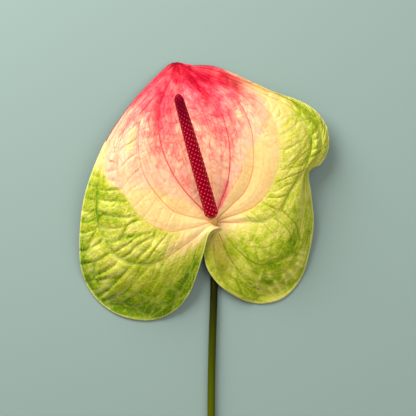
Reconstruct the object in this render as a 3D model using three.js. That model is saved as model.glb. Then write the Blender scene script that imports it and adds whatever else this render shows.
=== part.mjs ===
import * as THREE from 'three';
import { mergeVertices } from 'three/addons/utils/BufferGeometryUtils.js';

// A cut anthurium flower lying on its back: millimetres, +Z up, the spathe's tip towards +Y.
// The node, where stem, spathe and spadix meet, is at x = 0, y = 0 while the pieces are made.

// Driving dimensions
const STEM_RADIUS = 1.9;
const NECK_RADIUS = 1.55;
const STEM_LENGTH = 236;
const STEM_SIDES = 12;
const KNEE_RADIUS = 5;
const NECK_BEND_RADIUS = 2.6;
const NECK_TOP = 8.4;
const NECK_STRAIGHT = 1.0;
const COLLAR_RADIUS = 2.0;
const BLADE_THICKNESS = 0.75;
const BLADE_THICKEST = 1.25;
const SPADIX_LENGTH = 69;
const SPADIX_RADIUS = 3.5;
const SPADIX_TIP_RADIUS = 2.2;
const FLORET_HEIGHT = 0.5;
const SPADIX_RISE = THREE.MathUtils.degToRad(25);
const SPADIX_HEADING = THREE.MathUtils.degToRad(106);
const PIECE_GAP = 0.3;

// How finely each piece is faceted
const CELLS_BETWEEN_VEINS = 3;
const RIM_SHARE = 0.1;
const CELLS_ALONG_VEINS = 64;
const FLORETS_AROUND = 10;
const FLORET_ROWS = 50;

const GREEN = 0x9fb43c;
const CRIMSON = 0x8c0a24;
const OLIVE = 0x4f5413;

// Where a vein leaves the ring round the neck, by its bearing in degrees and its height
function collar(degrees, height) {
  const angle = THREE.MathUtils.degToRad(degrees);
  return [COLLAR_RADIUS * Math.cos(angle), COLLAR_RADIUS * Math.sin(angle), height];
}

// The spathe's upper face is drawn over its margins and main veins, from the left margin across
// the midrib to the right margin. Each runs from the neck to the tip, in points of x, y and height.
const TIP = [-18.0, 80.3, 0.75];
const VEINS = [
  [ // left margin: lip over the notch, round the left lobe, up to the beak at the tip
    [3.0, -2.7, 9.6], [-1.8, -5.0, 10.6], [-5.6, -17.0, 9.6], [-8.6, -26.5, 7.8], [-12.3, -35.8, 5.6],
    [-18.8, -43.9, 2.8], [-28.5, -48.9, 0.2], [-39.0, -49.2, -2.0], [-49.6, -46.0, -2.4],
    [-58.6, -39.3, -1.6], [-64.3, -31.0, 0.2], [-67.0, -22.0, 2.0], [-67.5, -12.5, 3.5],
    [-67.2, -4.0, 5.0], [-66.3, 5.0, 6.3], [-64.6, 14.0, 7.4], [-61.4, 24.0, 8.0], [-57.6, 33.5, 8.0],
    [-53.0, 42.8, 7.5], [-47.2, 51.6, 6.6], [-41.0, 60.0, 5.5], [-33.5, 68.5, 4.2], [-26.0, 76.0, 2.8],
    [-21.6, 79.6, 1.8], TIP,
  ],
  [ // outer left vein
    collar(215, 8.6), [-14.5, -11.5, 12.8], [-31.0, -21.0, 14.5], [-48.0, -17.8, 12.8],
    [-57.3, -2.5, 11.5], [-58.0, 16.5, 11.8], [-51.6, 39.5, 9.8], [-36.6, 62.5, 6.6], TIP,
  ],
  [ // third left vein
    collar(185, 8.2), [-12.0, -3.2, 12.0], [-24.5, -4.3, 15.0], [-37.5, 3.4, 16.0],
    [-44.7, 15.5, 15.5], [-47.9, 31.0, 14.0], [-44.6, 46.0, 11.5], [-31.0, 63.2, 8.0], TIP,
  ],
  [ // second left vein
    collar(155, 7.9), [-11.0, 2.6, 10.8], [-20.3, 5.6, 13.2], [-28.5, 13.8, 14.6],
    [-35.0, 24.0, 14.8], [-37.7, 38.5, 14.0], [-36.0, 53.0, 12.0], [-27.0, 66.0, 8.6], TIP,
  ],
  [ // first left vein
    collar(128, 7.7), [-7.5, 8.0, 9.4], [-13.5, 14.3, 11.2], [-19.3, 22.2, 12.4],
    [-24.0, 31.5, 13.0], [-27.2, 43.0, 12.8], [-27.0, 56.0, 11.4], [-22.6, 67.8, 8.0], TIP,
  ],
  [ // midrib
    collar(104, 7.6), [-2.8, 11.0, 8.4], [-5.5, 22.0, 10.0], [-8.2, 33.0, 11.4],
    [-11.0, 44.0, 12.0], [-13.6, 54.5, 11.6], [-15.2, 63.0, 9.8], [-16.2, 71.0, 6.4], TIP,
  ],
  [ // first right vein
    collar(75, 7.6), [3.6, 10.8, 8.8], [6.5, 18.5, 10.6], [7.9, 28.5, 12.2],
    [7.7, 38.5, 13.2], [5.7, 48.0, 13.4], [0.8, 59.5, 11.6], [-7.5, 69.3, 7.0], TIP,
  ],
  [ // second right vein
    collar(45, 7.6), [8.3, 8.0, 9.2], [15.3, 15.3, 11.6], [19.0, 25.0, 13.8],
    [19.6, 35.5, 15.2], [18.0, 48.0, 15.0], [11.5, 60.8, 12.4], [-2.0, 70.5, 6.4], TIP,
  ],
  [ // third right vein
    collar(20, 7.5), [6.5, 2.3, 8.4], [12.6, 4.4, 10.0], [19.0, 7.2, 11.8], [24.5, 12.0, 13.8],
    [29.0, 19.0, 15.4], [31.5, 27.0, 16.4], [32.8, 35.5, 16.6], [32.2, 44.5, 15.8],
    [28.5, 53.5, 14.0], [17.5, 63.5, 10.4], [0.5, 71.8, 5.2], TIP,
  ],
  [ // outer right vein, which runs to the corner over the notch
    collar(-5, 7.4), [8.5, -0.3, 8.8], [16.5, 0.0, 10.8], [25.0, 0.0, 12.8], [33.5, 6.0, 15.0],
    [39.5, 16.5, 15.4], [44.6, 25.0, 14.6], [47.7, 34.0, 14.0], [47.8, 44.0, 13.4],
    [40.5, 54.2, 12.0], [23.0, 64.2, 8.8], [1.8, 73.8, 4.4], TIP,
  ],
  [ // vein of the right lobe
    collar(-40, 7.2), [6.0, -7.0, 8.6], [12.0, -14.0, 9.6], [22.0, -21.0, 10.2], [37.0, -16.5, 10.0],
    [44.6, 4.5, 10.6], [46.2, 25.4, 11.4], [52.8, 34.4, 11.4], [52.4, 46.8, 10.6],
    [41.5, 58.2, 9.6], [22.0, 67.0, 6.8], [0.6, 75.6, 3.6], TIP,
  ],
  [ // right margin: under the left lobe, round the right lobe, into the notch and round the ear
    collar(-100, 7.0), [-5.0, -11.5, 7.0], [-3.9, -22.0, 6.6], [1.6, -30.6, 5.4], [9.5, -36.6, 3.8],
    [17.0, -40.1, 1.2], [25.0, -41.0, -1.6], [34.5, -38.4, -2.0], [43.6, -28.6, 0.4],
    [48.6, -12.0, 3.0], [50.0, 1.5, 4.6], [48.7, 14.0, 6.2], [47.8, 25.4, 8.4], [53.2, 28.9, 8.6],
    [56.7, 34.7, 7.8], [57.6, 41.0, 7.6], [55.8, 49.0, 7.8], [50.0, 56.3, 8.4], [42.0, 60.9, 8.2],
    [32.0, 64.4, 6.8], [21.0, 69.3, 5.0], [10.0, 74.3, 3.6], [-0.5, 78.2, 2.8], [-9.5, 78.6, 2.0],
    [-15.4, 77.7, 1.4], TIP,
  ],
];

// Relief of the blade
const QUILT_HEIGHT = 0.9;
const RIB_HEIGHT = 0.7;
const RIBS_TO_TIP = 16;

const curveThrough = (points) => new THREE.CatmullRomCurve3(points);
const VEIN_CURVES = VEINS.map((points) => curveThrough(points.map(([x, y, z]) => new THREE.Vector3(x, y, z))));

// A point of the upper face: along runs 0 to 1 from the neck to the tip, across 0 to 1 from the
// left margin to the right one. Veins lie sunken between raised quilts, with ribs across the lobes.
function bladePoint(along, across) {
  const point = curveThrough(VEIN_CURVES.map((curve) => curve.getPoint(along))).getPoint(across);
  const grown = Math.sin(Math.PI * along);
  const lane = across * (VEINS.length - 1);
  const quilt = Math.sin(Math.PI * lane) ** 2;
  const outward = THREE.MathUtils.smoothstep(Math.abs(across - 0.45), 0.25, 0.4);
  const rib = Math.cos(2 * Math.PI * RIBS_TO_TIP * along) * quilt * outward;
  point.z += grown * (QUILT_HEIGHT * quilt + RIB_HEIGHT * rib);
  point.z = Math.max(point.z, BLADE_THICKNESS);
  return point;
}

// How far the lower face lies straight below the upper one, so that the blade keeps its thickness
// where it slopes
function bladeDepth(grid, row, column) {
  if (row === grid.length - 1) return BLADE_THICKNESS;
  const at = (r, c) => grid[THREE.MathUtils.clamp(r, 0, grid.length - 1)][
    THREE.MathUtils.clamp(c, 0, grid[0].length - 1)];
  const lengthwise = at(row + 1, column).clone().sub(at(row - 1, column));
  const crosswise = at(row, column + 1).clone().sub(at(row, column - 1));
  const normal = lengthwise.cross(crosswise);
  const upright = normal.length() > 0 ? Math.abs(normal.z) / normal.length() : 1;
  return Math.min(BLADE_THICKNESS / Math.max(upright, 0.1), BLADE_THICKEST);
}

// One closed solid between an upper and a lower grid of points, both split into triangles alike
function solidBetween(upper, lower) {
  const rows = upper.length;
  const columns = upper[0].length;
  const positions = [...upper.flat(), ...lower.flat()].flatMap((p) => [p.x, p.y, p.z]);
  const top = (r, c) => r * columns + c;
  const bottom = (r, c) => (rows + r) * columns + c;
  const faces = [];
  const quad = (a, b, c, d) => faces.push([a, b, c], [a, c, d]);
  for (let r = 0; r < rows - 1; r += 1) {
    for (let c = 0; c < columns - 1; c += 1) {
      quad(top(r, c), top(r, c + 1), top(r + 1, c + 1), top(r + 1, c));
      faces.push([bottom(r, c), bottom(r + 1, c + 1), bottom(r, c + 1)]);
      faces.push([bottom(r, c), bottom(r + 1, c), bottom(r + 1, c + 1)]);
    }
    quad(top(r, 0), top(r + 1, 0), bottom(r + 1, 0), bottom(r, 0));
    quad(top(r + 1, columns - 1), top(r, columns - 1), bottom(r, columns - 1), bottom(r + 1, columns - 1));
  }
  for (let c = 0; c < columns - 1; c += 1) {
    quad(top(0, c + 1), top(0, c), bottom(0, c), bottom(0, c + 1));
    quad(top(rows - 1, c), top(rows - 1, c + 1), bottom(rows - 1, c + 1), bottom(rows - 1, c));
  }
  return closedGeometry(positions, faces);
}

// Triangles over shared corners, without those that a pole has squeezed to a line
function closedGeometry(positions, faces) {
  const loose = new THREE.BufferGeometry();
  loose.setAttribute('position', new THREE.Float32BufferAttribute(positions, 3));
  loose.setIndex(faces.flat());
  const merged = mergeVertices(loose, 1e-3);
  const index = Array.from(merged.index.array);
  const kept = [];
  for (let i = 0; i < index.length; i += 3) {
    const [a, b, c] = index.slice(i, i + 3);
    if (a !== b && b !== c && c !== a) kept.push(a, b, c);
  }
  merged.setIndex(kept);
  merged.computeVertexNormals();
  return merged;
}

// A closed skin over rings of points that follow each other along an axis, with flat or pointed
// ends. Its cells are split by turns one way and the other, which leaves every other corner as the
// top of a four-sided point.
function solidOverRings(rings) {
  const sides = rings[0].length;
  const positions = rings.flat().flatMap((p) => [p.x, p.y, p.z]);
  const at = (ring, side) => ring * sides + (side % sides);
  const faces = [];
  for (let ring = 0; ring < rings.length - 1; ring += 1) {
    for (let side = 0; side < sides; side += 1) {
      const corners = [
        at(ring, side), at(ring, side + 1), at(ring + 1, side + 1), at(ring + 1, side),
      ];
      const [a, b, c, d] = (ring + side) % 2 === 0 ? [...corners.slice(1), corners[0]] : corners;
      faces.push([a, b, c], [a, c, d]);
    }
  }
  for (let side = 1; side < sides - 1; side += 1) {
    faces.push([at(0, 0), at(0, side + 1), at(0, side)]);
    faces.push([at(rings.length - 1, 0), at(rings.length - 1, side), at(rings.length - 1, side + 1)]);
  }
  return closedGeometry(positions, faces);
}

// The blade touches the surface at the ends of both lobes, where it lies flat, and at the tip
function makeSpathe() {
  const lanes = VEINS.length - 1;
  const columns = [RIM_SHARE, lanes - RIM_SHARE];
  for (let column = 0; column <= lanes * CELLS_BETWEEN_VEINS; column += 1) {
    columns.push(column / CELLS_BETWEEN_VEINS);
  }
  columns.sort((a, b) => a - b);
  const upper = [];
  for (let row = 0; row <= CELLS_ALONG_VEINS; row += 1) {
    upper.push(columns.map((lane) => bladePoint(row / CELLS_ALONG_VEINS, lane / lanes)));
  }
  const lower = upper.map((line, row) => line.map((point, column) => (
    new THREE.Vector3(point.x, point.y, Math.max(point.z - bladeDepth(upper, row, column), 0))
  )));
  return solidBetween(upper, lower);
}

// The neck's own line: up out of the ring, over towards the tip, and straight into the spadix
const HEADING = new THREE.Vector3(Math.cos(SPADIX_HEADING), Math.sin(SPADIX_HEADING), 0);
const SPADIX_AXIS = HEADING.clone().multiplyScalar(Math.cos(SPADIX_RISE)).setZ(Math.sin(SPADIX_RISE));
const NECK_TURN = Math.PI / 2 - SPADIX_RISE;

function neckPoint(angle) {
  const point = HEADING.clone().multiplyScalar(NECK_BEND_RADIUS * (1 - Math.cos(angle)));
  return point.setZ(NECK_TOP + NECK_BEND_RADIUS * Math.sin(angle));
}

const NECK_END = neckPoint(NECK_TURN).addScaledVector(SPADIX_AXIS, NECK_STRAIGHT);

// The stem's centre line seen from above, from the knee to the cut end
const STEM_LINE = curveThrough([
  new THREE.Vector3(0, -KNEE_RADIUS, STEM_RADIUS),
  new THREE.Vector3(0.2, -20, STEM_RADIUS),
  new THREE.Vector3(-0.1, -38, STEM_RADIUS),
  new THREE.Vector3(-0.9, -62, STEM_RADIUS),
  new THREE.Vector3(-1.4, -96, STEM_RADIUS),
  new THREE.Vector3(-0.6, -140, STEM_RADIUS),
  new THREE.Vector3(1.6, -190, STEM_RADIUS),
  new THREE.Vector3(4.4, -STEM_LENGTH, STEM_RADIUS),
]);

// A ring round a centre, square to a direction, with a flat side down where the stem is level
function stemRing(centre, direction, radius) {
  const side = new THREE.Vector3(1, 0, 0).addScaledVector(direction, -direction.x).normalize();
  const up = side.clone().cross(direction).normalize();
  const reach = radius / Math.cos(Math.PI / STEM_SIDES);
  const ring = [];
  for (let i = 0; i < STEM_SIDES; i += 1) {
    const angle = (2 * Math.PI * (i + 0.5)) / STEM_SIDES;
    ring.push(centre.clone()
      .addScaledVector(side, -reach * Math.sin(angle))
      .addScaledVector(up, -reach * Math.cos(angle)));
  }
  return ring;
}

function makeStem() {
  const rings = [];
  const lineSteps = 26;
  for (let i = 0; i <= lineSteps; i += 1) {
    const along = 1 - i / lineSteps;
    const direction = STEM_LINE.getTangent(along).negate();
    rings.push(stemRing(STEM_LINE.getPoint(along), direction, STEM_RADIUS));
  }
  const kneeSteps = 6;
  for (let i = 1; i <= kneeSteps; i += 1) {
    const angle = (Math.PI / 2) * (i / kneeSteps);
    const centre = new THREE.Vector3(
      0,
      -KNEE_RADIUS + KNEE_RADIUS * Math.sin(angle),
      STEM_RADIUS + KNEE_RADIUS * (1 - Math.cos(angle)),
    );
    const direction = new THREE.Vector3(0, Math.cos(angle), Math.sin(angle));
    rings.push(stemRing(centre, direction, THREE.MathUtils.lerp(STEM_RADIUS, NECK_RADIUS, i / kneeSteps)));
  }
  const neckSteps = 4;
  for (let i = 0; i <= neckSteps; i += 1) {
    const angle = NECK_TURN * (i / neckSteps);
    const direction = HEADING.clone().multiplyScalar(Math.sin(angle)).setZ(Math.cos(angle));
    rings.push(stemRing(neckPoint(angle), direction, NECK_RADIUS));
  }
  rings.push(stemRing(NECK_END, SPADIX_AXIS, NECK_RADIUS));
  return solidOverRings(rings);
}

// The spadix's radius at a distance from its base: full soon after the neck, then slowly
// slimmer to a round tip
function spadixRadius(distance) {
  const share = distance / SPADIX_LENGTH;
  const body = THREE.MathUtils.lerp(SPADIX_RADIUS, SPADIX_TIP_RADIUS, share ** 3);
  const base = Math.sqrt(Math.min(1, 0.22 + distance / 2.6));
  const left = Math.min(1, (SPADIX_LENGTH - distance) / 3.4);
  return body * base * Math.sqrt(Math.max(0, 1 - (1 - left) ** 2));
}

// The florets fade towards the tip, between these shares of the length
const SMOOTH_FROM = 0.8;
const SMOOTH_TO = 0.9;
const SMOOTHNESS = 0.8;

// Florets stand as four-sided points in crossing spirals: each ring has tops and valleys in turn,
// and the next ring has them the other way round. The end near the tip is smooth.
function makeSpadix() {
  const side = new THREE.Vector3(-Math.sin(SPADIX_HEADING), Math.cos(SPADIX_HEADING), 0);
  const up = side.clone().cross(SPADIX_AXIS).multiplyScalar(-1);
  const base = NECK_END.clone().addScaledVector(SPADIX_AXIS, PIECE_GAP);
  const columns = 2 * FLORETS_AROUND;
  const rings = [];
  for (let row = 0; row <= FLORET_ROWS; row += 1) {
    const distance = (SPADIX_LENGTH * row) / FLORET_ROWS;
    const radius = spadixRadius(distance);
    const smooth = THREE.MathUtils.smoothstep(distance / SPADIX_LENGTH, SMOOTH_FROM, SMOOTH_TO);
    const relief = row < 2 || row === FLORET_ROWS ? 0 : FLORET_HEIGHT * (1 - SMOOTHNESS * smooth);
    const ring = [];
    for (let column = 0; column < columns; column += 1) {
      const reach = radius + ((row + column) % 2 === 0 ? 0 : -relief);
      const angle = (2 * Math.PI * column) / columns;
      ring.push(base.clone()
        .addScaledVector(SPADIX_AXIS, distance)
        .addScaledVector(side, reach * Math.cos(angle))
        .addScaledVector(up, reach * Math.sin(angle)));
    }
    rings.push(ring);
  }
  return solidOverRings(rings);
}

function mesh(name, geometry, color, roughness) {
  const material = new THREE.MeshStandardMaterial({ color, roughness, metalness: 0 });
  const piece = new THREE.Mesh(geometry, material);
  piece.name = name;
  return piece;
}

const flower = new THREE.Group();
flower.add(mesh('spathe', makeSpathe(), GREEN, 0.35));
flower.add(mesh('spadix', makeSpadix(), CRIMSON, 0.4));
flower.add(mesh('stem', makeStem(), OLIVE, 0.5));

// The origin is the middle of the outline's box, on the surface that the flower lies on
const extent = new THREE.Box3().setFromObject(flower);
const middle = extent.getCenter(new THREE.Vector3());
for (const piece of flower.children) {
  piece.geometry.translate(-middle.x, -middle.y, -extent.min.z);
}

export default flower;
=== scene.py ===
"""A cut anthurium flower lying on its back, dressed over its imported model.

The spathe is a fine blade laid over the same margins and main veins as the solid, the spadix a
crimson spike set with florets, and the stem a round green stalk with a knee and a short neck.
"""

import logging
import math
from dataclasses import dataclass, field
from enum import Enum, auto
from functools import reduce

import bmesh
import bpy
import numpy as np
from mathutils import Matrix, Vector, noise


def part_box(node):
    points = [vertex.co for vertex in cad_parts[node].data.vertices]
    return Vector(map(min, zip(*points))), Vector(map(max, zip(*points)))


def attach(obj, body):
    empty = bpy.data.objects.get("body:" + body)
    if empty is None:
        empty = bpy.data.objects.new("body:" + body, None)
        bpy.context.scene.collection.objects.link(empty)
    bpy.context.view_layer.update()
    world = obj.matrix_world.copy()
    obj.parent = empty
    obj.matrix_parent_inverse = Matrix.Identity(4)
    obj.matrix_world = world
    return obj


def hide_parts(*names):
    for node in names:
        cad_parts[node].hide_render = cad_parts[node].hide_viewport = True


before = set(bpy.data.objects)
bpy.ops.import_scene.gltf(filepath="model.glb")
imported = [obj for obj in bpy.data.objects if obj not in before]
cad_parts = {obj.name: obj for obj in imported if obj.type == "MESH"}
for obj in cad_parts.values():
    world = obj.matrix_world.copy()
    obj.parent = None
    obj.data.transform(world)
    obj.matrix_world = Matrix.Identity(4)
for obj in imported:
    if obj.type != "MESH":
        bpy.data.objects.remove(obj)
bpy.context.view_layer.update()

MM = 0.001
BODY = "root"
log = logging.getLogger("anthurium")

Array = np.ndarray
Socket = bpy.types.NodeSocket
Points = tuple[tuple[float, float, float], ...]
Path = tuple[tuple[float, float], ...]
Edges = tuple[float, float, float, float]
Colour = tuple[float, float, float, float]


def srgb(red: int, green: int, blue: int) -> Colour:
    """Turns a colour as seen on a screen into the renderer's linear one.

    Args:
        red: Red, 0 to 255.
        green: Green, 0 to 255.
        blue: Blue, 0 to 255.

    Returns:
        The linear colour with full alpha.
    """
    def linear(part: int) -> float:
        """One channel's linear value."""
        share = part / 255
        return share / 12.92 if share <= 0.04045 else ((share + 0.055) / 1.055) ** 2.4

    return linear(red), linear(green), linear(blue), 1.0


def ease(value: Array | float, start: float, end: float) -> Array:
    """Goes smoothly from 0 at start to 1 at end; end may be the smaller one.

    Args:
        value: What is compared with start and end.
        start: Where the result is still 0.
        end: Where the result has become 1.

    Returns:
        The eased share, 0 to 1.
    """
    share = np.clip((value - start) / (end - start), 0.0, 1.0)
    return share * share * (3 - 2 * share)


def plateau(value: Array, edges: Edges) -> Array:
    """Goes smoothly from 0 to 1 between the first two edges, and back to 0 between the last two."""
    return ease(value, edges[0], edges[1]) * ease(value, edges[3], edges[2])


def bell(value: Array, width: float, power: float = 2) -> Array:
    """Falls smoothly from 1 at 0 towards nothing beyond the width."""
    return np.exp(-((value / width) ** power))


def smooth_curve(points: Array, share: Array) -> Array:
    """Follows centripetal curves through control points, as the solid's curves do.

    Args:
        points: Control points, shaped (..., count, 3).
        share: Places along the curves, 0 to 1.

    Returns:
        Points shaped (..., places, 3).
    """
    before = 2 * points[..., :1, :] - points[..., 1:2, :]
    after = 2 * points[..., -1:, :] - points[..., -2:-1, :]
    padded = np.concatenate([before, points, after], axis=-2)
    reach = np.clip(share, 0, 1) * (points.shape[-2] - 1)
    first = np.minimum(reach.astype(int), points.shape[-2] - 2)
    w = (reach - first)[:, None]
    p0, p1, p2, p3 = (padded[..., first + k, :] for k in range(4))

    def knot(a: Array, b: Array, spare: Array | float) -> Array:
        """The centripetal knot distance between two points, or the spare one where they meet."""
        apart = np.sqrt(np.linalg.norm(b - a, axis=-1, keepdims=True))
        return np.where(apart < 1e-4, spare, apart)

    d1 = knot(p1, p2, 1.0)
    d0 = knot(p0, p1, d1)
    d2 = knot(p2, p3, d1)
    t1 = ((p1 - p0) / d0 - (p2 - p0) / (d0 + d1) + (p2 - p1) / d1) * d1
    t2 = ((p2 - p1) / d1 - (p3 - p1) / (d1 + d2) + (p3 - p2) / d2) * d1
    return (p1 + t1 * w + (3 * (p2 - p1) - 2 * t1 - t2) * w ** 2
            + (2 * (p1 - p2) + t1 + t2) * w ** 3)


@dataclass(frozen=True)
class Curve:
    """A number that changes over the blade, straight between its knots of place and value."""

    knots: Path

    def at(self, place: Array) -> Array:
        """Reads the curve at each place."""
        return np.interp(place, *zip(*self.knots))


# Where each colour starts or ends along the blade, lane by lane. A lane lies between two veins:
# lane 0 starts at the left margin, lane 5 at the midrib, and lane 11 is the right margin.
BLUSH_FROM = Curve((
    (0, 0.75), (1, 0.74), (2, 0.54), (2.6, 0.5), (3.2, 0.42), (3.6, 0.3), (3.9, 0.1), (4.2, 0),
    (5.9, 0), (6.2, 0.15), (6.5, 0.4), (7, 0.56), (7.5, 0.66), (8, 0.78), (9, 0.85), (10, 0.845),
    (11, 0.83)))
ROSE_FROM = Curve((
    (0, 0.82), (1, 0.88), (2, 0.895), (3, 0.86), (3.6, 0.84), (4.5, 0.86), (5.2, 0.8), (5.8, 0.78),
    (6.4, 0.81), (7, 0.85), (7.5, 0.86), (8, 0.87), (9, 0.885), (10, 0.88), (11, 0.865)))
CRIMSON_FROM = Curve((
    (0, 1.2), (3, 1.1), (4, 0.95), (5, 0.93), (6.8, 0.9), (7.5, 0.98), (8, 1.1), (11, 1.1)))
GREEN_FROM = Curve((
    (0, 0), (0.4, 0.05), (1, 0.15), (2, 0.17), (8, 0.16), (8.6, 0.16), (9.2, 0.12), (9.6, 0.08),
    (10, 0.05), (10.4, 0.02), (11, 0.02)))
GREEN_TO = Curve((
    (0, 0.685), (1, 0.685), (1.3, 0.655), (1.6, 0.595), (1.85, 0.54), (2, 0.48), (8, 0.68),
    (8.3, 0.73), (8.7, 0.76), (9, 0.765), (11, 0.775)))

# How green each lane is, and how much of that it loses towards its far end
GREEN_LEVEL = Curve((
    (0, 0.76), (0.45, 0.66), (0.7, 0.56), (1, 0.53), (1.5, 0.52), (1.9, 0.47), (2.08, 0), (7.9, 0),
    (8.1, 0.3), (8.45, 0.42), (8.7, 0.44), (9, 0.4), (9.5, 0.38), (10, 0.42), (11, 0.46)))
GREEN_FADE = Curve((
    (0, 0.15), (0.6, 0.1), (1, 0), (2, 0), (8, 0.1), (9, 0.15), (10, 0.3), (11, 0.35)))

# How steeply the ribs rise towards the tip, from place to place along the lobes
LEFT_SLOPE = Curve((
    (0.1, 0), (0.25, 0.03), (0.3, 0.09), (0.35, 0.14), (0.42, 0.16), (0.51, 0.17), (0.58, 0.16),
    (0.65, 0.15), (0.75, 0.12), (0.85, 0.05), (0.9, 0)))
LEFT_RIM_SLOPE = Curve((
    (0.1, 0.1), (0.2, 0.16), (0.3, 0.12), (0.36, 0.09), (0.4, 0.06), (0.45, 0.04), (0.55, 0.03),
    (0.65, 0.01)))
RIGHT_SLOPE = Curve(((0.3, 0), (0.35, 0.06), (0.45, 0.1), (0.6, 0.13), (0.75, 0.12), (0.9, 0.03)))
RIGHT_SLOPE_SHARE = Curve(((7, 0), (7.1, 1), (9, 1), (9.2, 0.15), (11, 0.1)))

# How strongly the lobes are quilted, from place to place along them
LEFT_RELIEF = Curve((
    (0.1, 0), (0.2, 0.14), (0.27, 0.3), (0.34, 0.8), (0.4, 1), (0.54, 0.95), (0.59, 0.35),
    (0.65, 0.16), (0.8, 0.12), (0.92, 0)))
LEFT_RIM_RELIEF = Curve((
    (0.08, 0), (0.2, 0.24), (0.3, 0.36), (0.36, 0.8), (0.5, 0.8), (0.54, 0.45), (0.62, 0.35),
    (0.7, 0.18), (0.82, 0.1), (0.9, 0)))
RIGHT_RELIEF = Curve(((0.06, 0), (0.18, 0.2), (0.3, 0.36), (0.6, 0.34), (0.78, 0.42), (0.95, 0)))
RIGHT_RIM_RELIEF = Curve((
    (0.06, 0), (0.15, 0.15), (0.45, 0.16), (0.55, 0.25), (0.63, 0.65), (0.8, 0.65), (0.88, 0.3),
    (0.95, 0)))


@dataclass(frozen=True)
class Region:
    """A soft-edged region of the blade: its amount, and its four edges across and along."""

    amount: float
    lanes: Edges
    along: Edges

    def at(self, lane: Array, along: Array) -> Array:
        """The region's amount at each place."""
        return self.amount * plateau(lane, self.lanes) * plateau(along, self.along)


# Edges of a region that reaches the blade's own edge on that side
FROM_EDGE = (-2.0, -1.0)
TO_EDGE = (12.0, 13.0)

# Quilting outside the lobes: left of the middle, all over the upper half, all over the left side
# beyond the neck, and on the right shoulder
QUILTED = (
    Region(0.2, (1.7, 2.3, 2.6, 3.9), (0.5, 0.62, 0.82, 0.94)),
    Region(0.1, (*FROM_EDGE, *TO_EDGE), (0.5, 0.7, 0.85, 0.95)),
    Region(0.1, (*FROM_EDGE, 2.8, 3.3), (0.12, 0.25, *TO_EDGE)),
    Region(0.22, (7.0, 7.3, 7.9, 8.4), (0.5, 0.66, 0.85, 0.95)),
)

# Where the veins are shallower, where the blade is crowned less and where it is at least a little green
SHALLOW_VEINS = Region(0.65, (*FROM_EDGE, 2.6, 3.4), (0.58, 0.68, *TO_EDGE))
LESS_CROWNED = Region(0.6, (7.8, 8.4, *TO_EDGE), (0.2, 0.32, 0.5, 0.6))
YELLOWED = Region(0.14, (7.9, 8.5, *TO_EDGE), (0.15, 0.25, 0.74, 0.85))

# The lanes over which each rim gives way to its lobe, and each lobe to the middle
LEFT_RIM_TO_LOBE = (0.85, 1.15)
LEFT_LOBE_FROM_MIDDLE = (2.15, 1.8)
RIGHT_LOBE_FROM_MIDDLE = (7.9, 8.5)
RIGHT_LOBE_TO_RIM = (8.85, 9.15)


def rib_slope(lane: float, along: Array) -> Array:
    """How far ribs rise towards the tip over one lane, from left to right.

    Args:
        lane: The place across, in lanes.
        along: Places along, 0 to 1.

    Returns:
        The rise as a share of the whole length.
    """
    if lane < 2:
        return -(LEFT_RIM_SLOPE if lane < 1 else LEFT_SLOPE).at(along)
    return RIGHT_SLOPE.at(along) * RIGHT_SLOPE_SHARE.at(lane)


class Tone(Enum):
    """The colours that a vein can have."""

    RED = 0.0
    ORANGE = 1.0
    PALE = 2.0
    DARK = 3.0


RED, ORANGE, PALE, DARK = Tone

# How a main vein looks at one place: share of its length, tone and strength
VeinKey = tuple[float, Tone, float]


@dataclass(frozen=True)
class Vein:
    """A margin or main vein: its points in millimetres from the neck to the tip, and its look."""

    points: Points
    columns: int = 0
    keys: tuple[VeinKey, ...] = ()


COLLAR_RADIUS = 1.62
TIP = (-18.0, 80.3, 0.75)


def collar(degrees: float, height: float) -> tuple[float, float, float]:
    """Gives the point where a vein leaves the ring round the neck.

    Args:
        degrees: The point's bearing.
        height: Its height in millimetres.

    Returns:
        The point in millimetres from the neck's centre.
    """
    angle = math.radians(degrees)
    return COLLAR_RADIUS * math.cos(angle), COLLAR_RADIUS * math.sin(angle), height


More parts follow.
